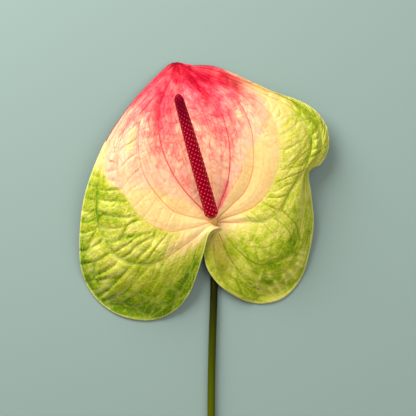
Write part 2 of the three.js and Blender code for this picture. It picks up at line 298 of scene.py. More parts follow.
VEINS = (
    Vein((  # left margin
        (3, -2.7, 9.6), (-1.8, -5, 10.6), (-5.6, -17, 9.6), (-8.6, -26.5, 7.8), (-12.3, -35.8, 5.6),
        (-18.8, -43.9, 2.8), (-28.5, -48.9, 0.2), (-39, -49.2, -2), (-49.6, -46, -2.4),
        (-58.6, -39.3, -1.6), (-64.3, -31, 0.2), (-67, -22, 2), (-67.5, -12.5, 3.5),
        (-67.2, -4, 5), (-66.3, 5, 6.3), (-64.6, 14, 7.4), (-61.4, 24, 8), (-57.6, 33.5, 8),
        (-53, 42.8, 7.5), (-47.2, 51.6, 6.6), (-41, 60, 5.5), (-33.5, 68.5, 4.2), (-26, 76, 2.8),
        (-21.6, 79.6, 1.8), TIP,
    ), 30),
    Vein((  # outer left vein
        collar(215, 8.6), (-14.5, -11.5, 12.8), (-31, -21, 14.5), (-48, -17.8, 12.8),
        (-57.3, -2.5, 11.5), (-58, 16.5, 11.8), (-51.6, 39.5, 9.8), (-36.6, 62.5, 6.6), TIP,
    ), 30, (
        (0.02, ORANGE, 0.5), (0.17, ORANGE, 0.6), (0.26, PALE, 0.4), (0.48, PALE, 0.4),
        (0.52, DARK, 0.35), (0.62, DARK, 0.1), (0.68, PALE, 0),
    )),
    Vein((  # third left vein
        collar(185, 8.2), (-12, -3.2, 12), (-24.5, -4.3, 15), (-37.5, 3.4, 16),
        (-44.7, 15.5, 15.5), (-47.9, 31, 14), (-44.6, 46, 11.5), (-31, 63.2, 8), TIP,
    ), 16, (
        (0.02, ORANGE, 0.6), (0.28, ORANGE, 0.5), (0.38, PALE, 0.3), (0.55, PALE, 0.2),
        (0.62, RED, 0.3), (0.8, RED, 0.2), (0.85, RED, 0),
    )),
    Vein((  # second left vein
        collar(155, 7.9), (-11, 2.6, 10.8), (-20.3, 5.6, 13.2), (-28.5, 13.8, 14.6),
        (-35, 24, 14.8), (-37.7, 38.5, 14), (-36, 53, 12), (-27, 66, 8.6), TIP,
    ), 14, (
        (0.02, ORANGE, 0.7), (0.38, ORANGE, 0.8), (0.5, RED, 0.5), (0.75, RED, 0.35), (0.85, RED, 0),
    )),
    Vein((  # first left vein
        collar(128, 7.7), (-7.5, 8, 9.4), (-13.5, 14.3, 11.2), (-19.3, 22.2, 12.4),
        (-24, 31.5, 13), (-27.2, 43, 12.8), (-27, 56, 11.4), (-22.6, 67.8, 8), TIP,
    ), 16, (
        (0.02, RED, 0.3), (0.1, RED, 1), (0.6, RED, 0.9), (0.85, RED, 0.2), (0.9, RED, 0),
    )),
    Vein((  # midrib
        collar(104, 7.6), (-2.8, 11, 8.4), (-5.5, 22, 10), (-8.2, 33, 11.4),
        (-11, 44, 12), (-13.6, 54.5, 11.6), (-15.2, 63, 9.8), (-16.2, 71, 6.4), TIP,
    ), 16, (
        (0.02, RED, 0.3), (0.8, RED, 0.5), (0.97, RED, 0),
    )),
    Vein((  # first right vein
        collar(75, 7.6), (3.6, 10.8, 8.8), (6.5, 18.5, 10.6), (7.9, 28.5, 12.2),
        (7.7, 38.5, 13.2), (5.7, 48, 13.4), (0.8, 59.5, 11.6), (-7.5, 69.3, 7), TIP,
    ), 14, (
        (0.02, RED, 1), (0.55, RED, 0.9), (0.8, RED, 0.4), (0.9, RED, 0),
    )),
    Vein((  # second right vein
        collar(45, 7.6), (8.3, 8, 9.2), (15.3, 15.3, 11.6), (19, 25, 13.8),
        (19.6, 35.5, 15.2), (18, 48, 15), (11.5, 60.8, 12.4), (-2, 70.5, 6.4), TIP,
    ), 14, (
        (0.02, ORANGE, 0.9), (0.25, ORANGE, 0.8), (0.45, RED, 0.5), (0.7, RED, 0.7), (0.85, RED, 0.2),
        (0.9, RED, 0),
    )),
    Vein((  # third right vein
        collar(20, 7.5), (6.5, 2.3, 8.4), (12.6, 4.4, 10), (19, 7.2, 11.8), (24.5, 12, 13.8),
        (29, 19, 15.4), (31.5, 27, 16.4), (32.8, 35.5, 16.6), (32.2, 44.5, 15.8),
        (28.5, 53.5, 14), (17.5, 63.5, 10.4), (0.5, 71.8, 5.2), TIP,
    ), 24, (
        (0.02, ORANGE, 0.9), (0.3, ORANGE, 0.8), (0.42, PALE, 0.4), (0.72, PALE, 0.4), (0.8, RED, 0.5),
        (0.9, RED, 0),
    )),
    Vein((  # outer right vein
        collar(-5, 7.4), (8.5, -0.3, 8.8), (16.5, 0, 10.8), (25, 0, 12.8), (33.5, 6, 15),
        (39.5, 16.5, 15.4), (44.6, 25, 14.6), (47.7, 34, 14), (47.8, 44, 13.4),
        (40.5, 54.2, 12), (23, 64.2, 8.8), (1.8, 73.8, 4.4), TIP,
    ), 22, (
        (0.02, ORANGE, 0.8), (0.12, ORANGE, 0.9), (0.2, PALE, 0.8), (0.29, PALE, 0.7), (0.33, PALE, 0),
        (0.64, PALE, 0), (0.7, PALE, 0.3), (0.84, PALE, 0),
    )),
    Vein((  # right lobe's vein
        collar(-40, 7.2), (6, -7, 8.6), (12, -14, 9.6), (22, -21, 10.2), (37, -16.5, 10),
        (44.6, 4.5, 10.6), (46.2, 25.4, 11.4), (52.8, 34.4, 11.4), (52.4, 46.8, 10.6),
        (41.5, 58.2, 9.6), (22, 67, 6.8), (0.6, 75.6, 3.6), TIP,
    ), 20, (
        (0.02, ORANGE, 0.8), (0.1, DARK, 0.4), (0.25, DARK, 0.6), (0.32, DARK, 0),
    )),
    Vein((  # right margin
        collar(-100, 7), (-5, -11.5, 7), (-3.9, -22, 6.6), (1.6, -30.6, 5.4), (9.5, -36.6, 3.8),
        (17, -40.1, 1.2), (25, -41, -1.6), (34.5, -38.4, -2), (43.6, -28.6, 0.4),
        (48.6, -12, 3), (50, 1.5, 4.6), (48.7, 14, 6.2), (47.8, 25.4, 8.4), (53.2, 28.9, 8.6),
        (56.7, 34.7, 7.8), (57.6, 41, 7.6), (55.8, 49, 7.8), (50, 56.3, 8.4), (42, 60.9, 8.2),
        (32, 64.4, 6.8), (21, 69.3, 5), (10, 74.3, 3.6), (-0.5, 78.2, 2.8), (-9.5, 78.6, 2),
        (-15.4, 77.7, 1.4), TIP,
    )),
)
LANES = len(VEINS) - 1


def path_gap(path: Path, place: Array, reach: float) -> Array:
    """Measures how far places lie from a smooth path.

    Args:
        path: The path's points in millimetres.
        place: Points in millimetres, shaped (..., 3).
        reach: The distance in millimetres beyond which no figure is needed.

    Returns:
        The distances, none over the reach.
    """
    points = np.array([(*spot, 0.0) for spot in path])
    line = smooth_curve(points, np.linspace(0, 1, 4 * len(points)))[:, :2]
    flat = place[..., :2]
    near = np.all((flat > line.min(axis=0) - reach) & (flat < line.max(axis=0) + reach), axis=-1)
    gaps = np.full(flat.shape[:-1], float(reach))
    spots = flat[near]
    best = np.full(len(spots), float(reach))
    for first, last in zip(line[:-1], line[1:]):
        run = last - first
        share = np.clip(((spots - first) @ run) / max(run @ run, 1e-9), 0, 1)
        best = np.minimum(best, np.linalg.norm(spots - first - share[:, None] * run, axis=-1))
    gaps[near] = best
    return gaps


@dataclass(frozen=True)
class Stroke:
    """A minor vein: how strongly it shows, and its path in millimetres from the neck."""

    strength: float
    path: Path


class Effect(Enum):
    """What a soft touch changes on the blade."""

    HEIGHT = auto()
    DARK = auto()
    PALE = auto()
    RED = auto()
    PINK = auto()
    OLIVE = auto()
    MILK = auto()


@dataclass(frozen=True)
class Touch:
    """A soft local change: its amount, half width and path in millimetres."""

    amount: float
    width: float
    path: Path

    def spread(self, place: Array) -> Array:
        """The change at each place, fading away from the path."""
        gap = path_gap(self.path, place, 3 * self.width)
        return self.amount * bell(gap, self.width) * (gap < 3 * self.width)


def touch_each(paths: tuple[Path, ...], amount: float, width: float) -> tuple[Touch, ...]:
    """Gives each of several paths a touch of the same amount and half width."""
    return tuple(Touch(amount, width, path) for path in paths)


# Short marks: the raised blisters by the right lobe's end, whose pale tops are painted highlights, and
# painted highlights on cushion tops of the left lobe
BLISTERS = (
    ((24, -26.8), (23.2, -28.6)), ((28, -26), (28, -27.8)), ((38, -24.6), (40.6, -28)),
    ((34.9, -27.2), (36.2, -30.4)), ((30.7, -30), (31.3, -32)), ((32.4, -32.8), (33.6, -35.2)),
    ((28.2, -34), (30, -36.2)), ((42, -21), (44, -22.2)), ((42.4, -18.2), (44.8, -18.8)),
    ((43, -15.2), (45.6, -15.6)), ((36.6, -33), (37.4, -34.6)),
)
PILLOW_HIGHLIGHTS = (
    ((-65, 4), (-63, 3)), ((-55.5, 9.6), (-52.5, 9.2)), ((-54, -8), (-48, -9)),
    ((-61, -11.6), (-57, -13.6)), ((-62.5, -16.2), (-58.5, -17.6)), ((-49.5, -17.4), (-45, -18.8)),
    ((-41, -13), (-37, -15)), ((-30, -10.2), (-26, -12.4)), ((-63, -23.2), (-60, -24)),
    ((-49, -23), (-45.5, -24.2)), ((-55, -30.4), (-52, -31.4)), ((-28.6, -21), (-26.4, -23.4)),
)
TOUCHES = {
    Effect.HEIGHT: (
        Touch(-0.7, 2.2, ((-17.5, 77.5), (-10, 74), (0.5, 70.5))),
        Touch(0.7, 2.4, ((-8, 75.5), (2, 73.5))),
        Touch(-0.8, 2.2, ((-32.5, 28.5), (-30.5, 22), (-25.5, 12.5))),
        Touch(-0.6, 2, ((-17.5, 74), (-19, 63), (-20.5, 52))),
        Touch(0.5, 1.4, ((-22.7, 72.5), (-20.5, 68.5), (-18.5, 64.5))),
        Touch(0.6, 2.4, ((-13, 71), (-6, 64), (2, 54))),
        Touch(-0.4, 0.7, ((6.6, 72.4), (7.4, 68))),
        Touch(-0.4, 0.7, ((11.2, 68.5), (12.4, 62.5))),
        Touch(-0.5, 0.9, ((17.5, 61), (16, 57))),
        *touch_each(BLISTERS, 0.8, 0.8),
    ),
    # Deeper green: partly the lobes' own dark patches, partly painted shade where the margins curl back,
    # along the sinus and in the folds on the right
    Effect.DARK: (
        Touch(1, 4.5, ((-20, -44), (-34, -46.5), (-48, -43))),
        Touch(0.3, 6, ((-18, -36), (-34, -40), (-50, -36))),
        Touch(0.5, 3.2, ((-5, -14), (-8.5, -22), (-13, -33), (-19, -41))),
        Touch(0.5, 3, ((-11, -16), (-15, -25), (-22, -35))),
        Touch(0.9, 2.4, ((-67.5, -9), (-66.5, -21), (-63.5, -31), (-57, -39), (-47, -45))),
        Touch(0.35, 3.4, ((30, -14.5), (36, -14.5), (40.5, -10))),
        Touch(0.35, 1.2, ((-58.2, 19), (-58.2, 8), (-57.6, -1.5))),
        Touch(0.5, 3.5, ((-62, 19), (-55, 12), (-50, 12))),
        Touch(0.5, 3, ((-63, 2), (-56, 4))),
        Touch(0.5, 3, ((-52, 2.5), (-46, 1.5))),
        Touch(0.5, 2, ((-52, -8.5), (-45, -8), (-38, -8))),
        Touch(0.2, 2, ((47.5, 8), (46.5, -10), (42, -22))),
        Touch(0.8, 3.2, ((37.5, -14), (39.5, -8))),
        Touch(0.8, 1.8, ((26, -21), (30, -22), (35, -19))),
        Touch(0.8, 1.5, ((18, -16.2), (20.4, -17.6))),
        Touch(0.7, 1.8, ((17, -20), (21.5, -25), (25, -29))),
        Touch(0.7, 2.2, ((13, -32), (18, -35), (23, -38.5))),
        Touch(0.4, 2.2, ((37.5, 60), (46, 55), (51, 49))),
        Touch(0.6, 1, ((48.5, 47.5), (48.6, 41), (47.6, 36), (46, 30))),
        Touch(0.5, 1.6, ((21.5, -24.4), (26, -29), (30.5, -28.5), (33, -24))),
        Touch(0.8, 1.6, ((26.3, -31), (33, -29.5), (37.5, -31))),
    ),
    # Paler colour: partly the lobes' own pale patches, partly painted light on slopes that face away from the
    # key lamp and painted highlights near the right lobe's end
    Effect.PALE: (
        Touch(0.35, 4, ((-20, -22), (-28, -26))),
        Touch(0.3, 3.5, ((44, 18), (44.5, 4), (42, -4))),
        Touch(0.6, 3, ((48, 14), (48, 24), (53, 31))),
        Touch(0.8, 3.4, ((25, -38.5), (34, -39.5))),
        Touch(0.6, 2.6, ((13, -20), (19, -26), (27, -32))),
        Touch(0.5, 4, ((12, -3), (22, -3), (28, 1))),
        Touch(0.5, 2.5, ((34, 46), (41, 48), (44, 43))),
        Touch(0.6, 3, ((-60, -12), (-56, -16), (-50, -20))),
        Touch(0.5, 3, ((-48, -12), (-41, -14.5))),
        Touch(0.5, 3, ((-66, 4), (-64.5, -3))),
        Touch(0.5, 5, ((-40, -3), (-30, -9), (-18, -13))),
        Touch(0.5, 5, ((2, -10), (3, -18), (6, -25))),
        Touch(0.7, 3, ((30, -33), (38, -27), (44.5, -17))),
    ),
    Effect.RED: (
        Touch(0.5, 2.4, ((-19, 78.5), (-10, 74.5), (-2, 71.5))),
        Touch(0.8, 1.8, ((-27, 64), (-27.5, 55), (-27.3, 47))),
        Touch(0.6, 2, ((-22.5, 62), (-23, 52), (-22, 44))),
        Touch(0.35, 3, ((-14, 72), (-6, 65.5), (3, 54.5))),
        Touch(0.3, 1.2, ((12, 72.8), (16.5, 71))),
        Touch(0.5, 1.2, ((4, 69), (11.5, 60.5), (16.5, 52), (18, 47.5))),
        Touch(-0.6, 1.3, ((-22.7, 72.5), (-20.5, 68.5), (-18.5, 65))),
        Touch(-0.4, 1.4, ((-26, 67), (-23.5, 64.5))),
        Touch(0.8, 1.6, ((-18.5, 80), (-19.5, 77))),
    ),
    Effect.PINK: (
        Touch(0.22, 1.8, ((2.8, 8), (5.2, 14), (6.4, 19))),
        Touch(0.08, 3, ((-2.5, 7), (-9, 14), (-16, 23), (-21, 34))),
        # A paler patch on the upper left: painted highlight
        Touch(-0.15, 3, ((-40, 46), (-42, 38))),
    ),
    # Painted shade: an olive-brown darkening on the strip that the left lobe shadows by the sinus, on the
    # furrow left of the middle, in the creases and folds by the upper right and over the upper right's ribs
    Effect.OLIVE: (
        Touch(1, 4.5, ((0.5, -9), (1, -16), (4, -24))),
        Touch(0.8, 4, ((5, -10), (8, -18))),
        Touch(0.35, 1.8, ((-30.5, 23), (-27.6, 17.5), (-25, 13))),
        Touch(0.7, 0.8, ((6.6, 72.4), (7, 69.8), (7.4, 68))),
        Touch(0.7, 0.8, ((11.2, 68.5), (12, 65.5), (12.4, 62.5))),
        Touch(0.5, 0.7, ((9, 71), (9.6, 67.6))),
        Touch(0.5, 3, ((5, 73.5), (10, 70), (15, 69))),
        Touch(0.4, 4.5, ((12, 70), (19, 63.5), (23, 56), (26, 47))),
    ),
    # Painted highlights: pale yellowish marks on the blisters, on the left lobe's cushion tops and on a patch
    # right of the neck
    Effect.MILK: (
        Touch(0.4, 1.2, ((20, 2.6), (24, 4.4), (28, 4.8))),
        *touch_each(BLISTERS, 0.75, 0.8),
        *touch_each(PILLOW_HIGHLIGHTS, 0.5, 1.6),
    ),
}
MINOR_VEINS = {
    RED: (
        Stroke(0.6, ((-36.5, 40), (-32.5, 37.5), (-29.5, 34), (-27, 27))),
        Stroke(0.8, ((-30, 29.7), (-28, 26.5), (-26.5, 22.5), (-24.2, 20))),
        Stroke(0.5, ((-34.5, 32.2), (-33, 30), (-32, 26))),
        Stroke(0.6, ((-25.5, 62), (-22, 50), (-19, 40), (-15, 33), (-13, 29))),
        Stroke(0.5, ((-19, 60), (-18.5, 48), (-14.5, 37), (-9, 26), (-5, 14))),
        Stroke(0.7, ((-8.5, 62), (-4, 51), (-2.3, 42), (-2.3, 30), (-0.5, 16))),
        Stroke(0.5, ((-2, 60), (2, 49), (3.5, 40), (3.8, 28), (2.8, 14))),
        Stroke(0.6, ((7, 54), (11, 45), (12.7, 38), (13.6, 31), (13.4, 25), (8.9, 17))),
    ),
    ORANGE: (
        Stroke(0.4, ((25.9, 38.5), (24.7, 30.2), (23.4, 22.3), (19.3, 13.5), (12, 7.5))),
    ),
    PALE: (
        Stroke(0.8, ((19.3, 50.2), (21.4, 54.8), (21.8, 59))),
        Stroke(0.8, ((20.9, 41), (24.7, 43.9), (25, 47.7), (28, 51.9))),
        Stroke(0.9, ((25.5, 58.9), (26.8, 61.9), (27.6, 64.8))),
        Stroke(0.9, ((28.9, 53.5), (31.4, 57.7), (33, 61.9))),
        Stroke(0.8, ((32.2, 49.8), (37.2, 52.7), (41, 52.5))),
        Stroke(1, ((32.6, 42.7), (37.2, 45.2), (43.9, 50.2), (45.5, 48))),
        Stroke(0.8, ((33, 35.6), (38, 36.4), (41.8, 40.2), (43.9, 49.4))),
        Stroke(0.7, ((32.2, 29.8), (35.5, 29.8), (38.9, 33.5), (43, 38))),
    ),
    DARK: (
        Stroke(0.7, ((-42.4, -22), (-46.7, -27.2), (-52.4, -30.8), (-58, -30.8))),
        Stroke(0.5, ((-36.7, -22.2), (-39.2, -27.2), (-43, -31.2), (-50, -37))),
        Stroke(0.5, ((-29, -20), (-31, -27), (-37, -34), (-44, -40))),
        Stroke(0.4, ((-11, -10.8), (-13.8, -15.8), (-16.7, -23), (-24, -33))),
        Stroke(0.4, ((-8, -11), (-10.5, -19), (-14, -28), (-21, -38))),
        Stroke(0.7, ((36, 23.5), (39.3, 28.5), (42.2, 31.9), (47.2, 36.4))),
        Stroke(0.8, ((34, 6.5), (37, 14), (41.5, 22), (44.5, 30), (48, 34.5), (48.6, 42))),
        Stroke(0.9, ((48.4, 32.7), (51.8, 34.4), (55.5, 37.7))),
        Stroke(0.6, ((48.9, 43.5), (51.8, 48.1), (54.3, 50.2))),
        Stroke(0.6, ((45.5, 51), (48.5, 51.8), (51.8, 53.5))),
        Stroke(1, ((2.5, -6), (5.2, -12), (8, -18), (12, -24), (16, -29), (22.5, -34))),
        Stroke(0.6, ((-0.1, -10.3), (0.2, -18), (1.4, -22.5), (3.5, -26.8), (7.9, -32.4))),
        Stroke(0.9, ((33.5, 6), (37.3, 2.5), (41, -1.5), (42.5, -8))),
        Stroke(0.7, ((30, 2), (35, -2), (38, -6), (38.5, -12))),
        Stroke(0.6, ((19, -8.5), (22, -11), (26.5, -14), (29.5, -16.5), (31.8, -15.5), (35, -9.5))),
        Stroke(0.5, ((24, 0), (28.8, -5.5), (31.5, -8.5), (35, -9.5))),
    ),
}


@dataclass
class Shader:
    """Builds one procedural material, node by node; a text as a value names a field of its piece."""

    name: str
    material: bpy.types.Material = field(init=False)
    tree: bpy.types.NodeTree = field(init=False)
    skin: bpy.types.Node = field(init=False)

    def __post_init__(self) -> None:
        """Makes the material with its one surface shader."""
        self.material = bpy.data.materials.new(self.name)
        self.material.use_nodes = True
        self.tree = self.material.node_tree
        self.skin = self.tree.nodes["Principled BSDF"]

    def node(self, kind: str, inputs: dict | None = None, **settings: object) -> bpy.types.Node:
        """Adds a node.

        Args:
            kind: The node's type name.
            inputs: Values or sockets by input name or number.
            settings: The node's own properties.

        Returns:
            The new node.
        """
        made = self.tree.nodes.new(kind)
        for key, value in settings.items():
            setattr(made, key, value)
        for key, value in (inputs or {}).items():
            self.feed(made.inputs[key], value)
        return made

    def feed(self, socket: Socket, value: object) -> None:
        """Links a socket or one of the piece's fields into an input, or writes a plain value there."""
        if isinstance(value, str):
            value = self.node("ShaderNodeAttribute", attribute_name=value).outputs["Fac"]
        if isinstance(value, Socket):
            self.tree.links.new(value, socket)
        else:
            socket.default_value = value

    def plain(self, **values: object) -> None:
        """Sets the surface shader's own sockets, with underscores for spaces."""
        for key, value in values.items():
            self.feed(self.skin.inputs[key.replace("_", " ")], value)

    def math(self, operation: str, *values: object) -> Socket:
        """Joins numbers by one arithmetic operation, without limits to the result."""
        return self.node("ShaderNodeMath", dict(enumerate(values)), operation=operation).outputs[0]

    def times(self, first: object, second: object) -> Socket:
        """Multiplies two numbers."""
        return self.math("MULTIPLY", first, second)

    def total(self, *parts: object) -> Socket:
        """Adds up numbers."""
        return reduce(lambda first, second: self.math("ADD", first, second), parts)

    def stretch(self, place: object, factors: tuple[float, float, float]) -> Socket:
        """Scales a place by a factor for each axis."""
        return self.node("ShaderNodeVectorMath", {0: place, 1: factors}, operation="MULTIPLY").outputs[0]

    def span(self, value: object, start: float, end: float, low: float = 0.0, high: float = 1.0) -> Socket:
        """Maps a number smoothly from start and end to low and high."""
        inputs = {"Value": value, "From Min": start, "From Max": end, "To Min": low, "To Max": high}
        made = self.node("ShaderNodeMapRange", inputs, interpolation_type="SMOOTHSTEP")
        return made.outputs["Result"]

    def blend(self, share: object, first: object, second: object, mode: str = "MIX") -> Socket:
        """Mixes two colours.

        Args:
            share: How much of the second colour shows.
            first: A colour or colour socket.
            second: A colour or colour socket.
            mode: The way the two are mixed.

        Returns:
            The mixed colour's socket.
        """
        made = self.node("ShaderNodeMix", data_type="RGBA", blend_type=mode)
        self.feed(made.inputs[0], share)
        self.feed(made.inputs[6], first)
        self.feed(made.inputs[7], second)
        return made.outputs[2]

    def ramp(self, share: object, stops: tuple[tuple[float, Colour], ...]) -> Socket:
        """Turns a number into a colour by a ramp of stops."""
        made = self.node("ShaderNodeValToRGB", {"Fac": share})
        elements = made.color_ramp.elements
        while len(elements) < len(stops):
            elements.new(1.0)
        for element, (place, colour) in zip(elements, stops):
            element.position = place
            element.color = colour
        return made.outputs["Color"]

    def clouds(self, place: object, scale: float, detail: float, rough: float = 0.5) -> Socket:
        """Cloudy noise from 0 to 1 at a place that is first scaled up."""
        inputs = {"Vector": place, "Scale": scale, "Detail": detail, "Roughness": rough}
        return self.node("ShaderNodeTexNoise", inputs).outputs["Fac"]

    def noise(self, size_mm: float, detail: float = 3.0, place: object = None, rough: float = 0.55) -> Socket:
        """Cloudy noise from 0 to 1 with patches of about the given size in millimetres."""
        place = place or self.node("ShaderNodeTexCoord").outputs["Object"]
        return self.clouds(place, 1 / (size_mm * MM), detail, rough)

    def bump(self, height: object, distance_mm: float, strength: object, under: object = None) -> Socket:
        """Raises the surface in look by a height field, over another bump if there is one."""
        inputs = {"Height": height, "Distance": distance_mm * MM, "Strength": strength}
        if under is not None:
            inputs["Normal"] = under
        return self.node("ShaderNodeBump", inputs).outputs["Normal"]


def hang(name: str, data: bpy.types.ID) -> bpy.types.Object:
    """Makes an object of a mesh, light or camera and links it to the scene."""
    made = bpy.data.objects.new(name, data)
    bpy.context.scene.collection.objects.link(made)
    return made


def lay_grid(mesh: bmesh.types.BMesh, point: Array, numbers: Array) -> Array:
    """Makes a grid of faces, lays its corners on given points and numbers them.

    Args:
        mesh: The mesh that takes the grid, with a "spot" layer for the numbers.
        point: Points in millimetres, shaped (rows, columns, 3).
        numbers: The points' numbers, shaped (rows, columns).

    Returns:
        The grid's vertices, shaped (rows, columns).
    """
    rows, columns = point.shape[:2]
    made = bmesh.ops.create_grid(mesh, x_segments=columns - 1, y_segments=rows - 1, size=1.0)["verts"]
    table = np.empty((rows, columns), dtype=object)
    for vertex in made:
        row = round((vertex.co.y + 1) / 2 * (rows - 1))
        column = round((vertex.co.x + 1) / 2 * (columns - 1))
        table[row, column] = vertex
    layer = mesh.verts.layers.int["spot"]
    for vertex, place, number in zip(table.flat, (point * MM).reshape(-1, 3), numbers.flat):
        vertex.co = place
        vertex[layer] = int(number)
    return table


def finish_piece(name: str, mesh: bmesh.types.BMesh, material: bpy.types.Material, node: str,
                 fields: dict[str, Array]) -> bpy.types.Object:
    """Turns a modelled mesh into a piece of the flower.

    Args:
        name: The piece's name.
        mesh: The finished mesh, in metres; its "spot" layer numbers the points of the fields from 1.
        material: Its material.
        node: The solid that it stands for.
        fields: Numbers for the material by name, one for each point.

    Returns:
        The new object.
    """
    data = bpy.data.meshes.new(name)
    mesh.to_mesh(data)
    mesh.free()
    data.materials.append(material)
    data.shade_smooth()
    spots = np.zeros(len(data.vertices), dtype=np.int32)
    data.attributes["spot"].data.foreach_get("value", spots)
    for field_name, values in fields.items():
        shown = np.concatenate([[0.0], values.ravel()])[spots]
        layer = data.attributes.new(field_name, "FLOAT", "POINT")
        layer.data.foreach_set("value", shown.astype(np.float32))
    piece = hang(name, data)
    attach(piece, BODY)
    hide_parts(node)
    log.info("%s: %d faces", name, len(data.polygons))
    return piece


@dataclass
class Quilting:
    """The raised cushions between the veins, with creases round each, from seeded centres."""

    seed: int = 7
    rib_mm: tuple[float, ...] = (5.0, 4.8, 7.0, 8.0, 9.0, 9.0, 9.0, 6.0, 5.2, 5.0, 4.6)
    size: float = 1.0
    stretch: float = 0.32
    crease_mm: float = 0.65
    crease_shape: float = 1.4
    sideways: float = 0.4
    lengthwise: float = 0.33
    heights: tuple[float, float] = (0.5, 1.1)

    def centres(self, lane: int, length: float, width: float) -> Array:
        """Scatters cushion centres over a lane.

        Args:
            lane: The lane's number, from the left margin.
            length: The lane's length in millimetres.
            width: Its usual width in millimetres.

        Returns:
            Rows of place along, place across (0 to 1), height and two tilts.
        """
        draw = np.random.default_rng(self.seed + lane)
        rib = self.rib_mm[lane] * self.size
        abreast = max(1, round(width * self.stretch / rib))
        rows = max(3, round(length / rib))
        made = []
        for row in range(-1, rows + 1):
            for cell in range(abreast):
                across = (cell + 0.5 + draw.uniform(-self.sideways, self.sideways)) / abreast
                along = (row + 0.5 + draw.uniform(-self.lengthwise, self.lengthwise)) / rows
                made.append((along, across, draw.uniform(*self.heights), *draw.uniform(-1, 1, 2)))
        return np.array(made)

    def raise_lane(self, along: Array, across: Array, length: Array, width: Array,
                   lane: int) -> tuple[Array, Array]:
        """Works out the cushions of one lane.

        Args:
            along: Places along the lane, 0 to 1, for each point.
            across: Places across the lane, 0 to 1, for each point.
            length: The lane's local length in millimetres a whole run.
            width: The lane's local width in millimetres.
            lane: The lane's number.

        Returns:
            Each point's height share, and its distance to the nearest crease in millimetres.
        """
        centres = self.centres(lane, float(np.median(length)), float(np.percentile(width, 70)))
        beside = across[..., None] - centres[:, 1]
        climb = rib_slope(lane + 0.5, centres[:, 0]) * beside
        run = (along[..., None] - centres[:, 0] - climb) * length[..., None]
        side = beside * width[..., None] * self.stretch
        gap = run ** 2 + side ** 2
        order = np.argsort(gap, axis=-1)[..., :2]
        near, far = (np.take_along_axis(gap, order[..., k:k + 1], -1)[..., 0] for k in (0, 1))
        pair = [np.stack([np.take_along_axis(part, order[..., k:k + 1], -1)[..., 0]
                          for part in (run, side)], -1) for k in (0, 1)]
        apart = np.linalg.norm(pair[0] - pair[1], axis=-1)
        edge = (far - near) / (2 * np.maximum(apart, 1e-3))
        chosen = centres[order[..., 0]]
        dome = 1 - bell(edge, self.crease_mm, self.crease_shape)
        lean = chosen[..., 3] * pair[0][..., 0] + chosen[..., 4] * pair[0][..., 1]
        return dome * chosen[..., 2] * (1 + 0.5 * lean / self.rib_mm[lane] / self.size), edge


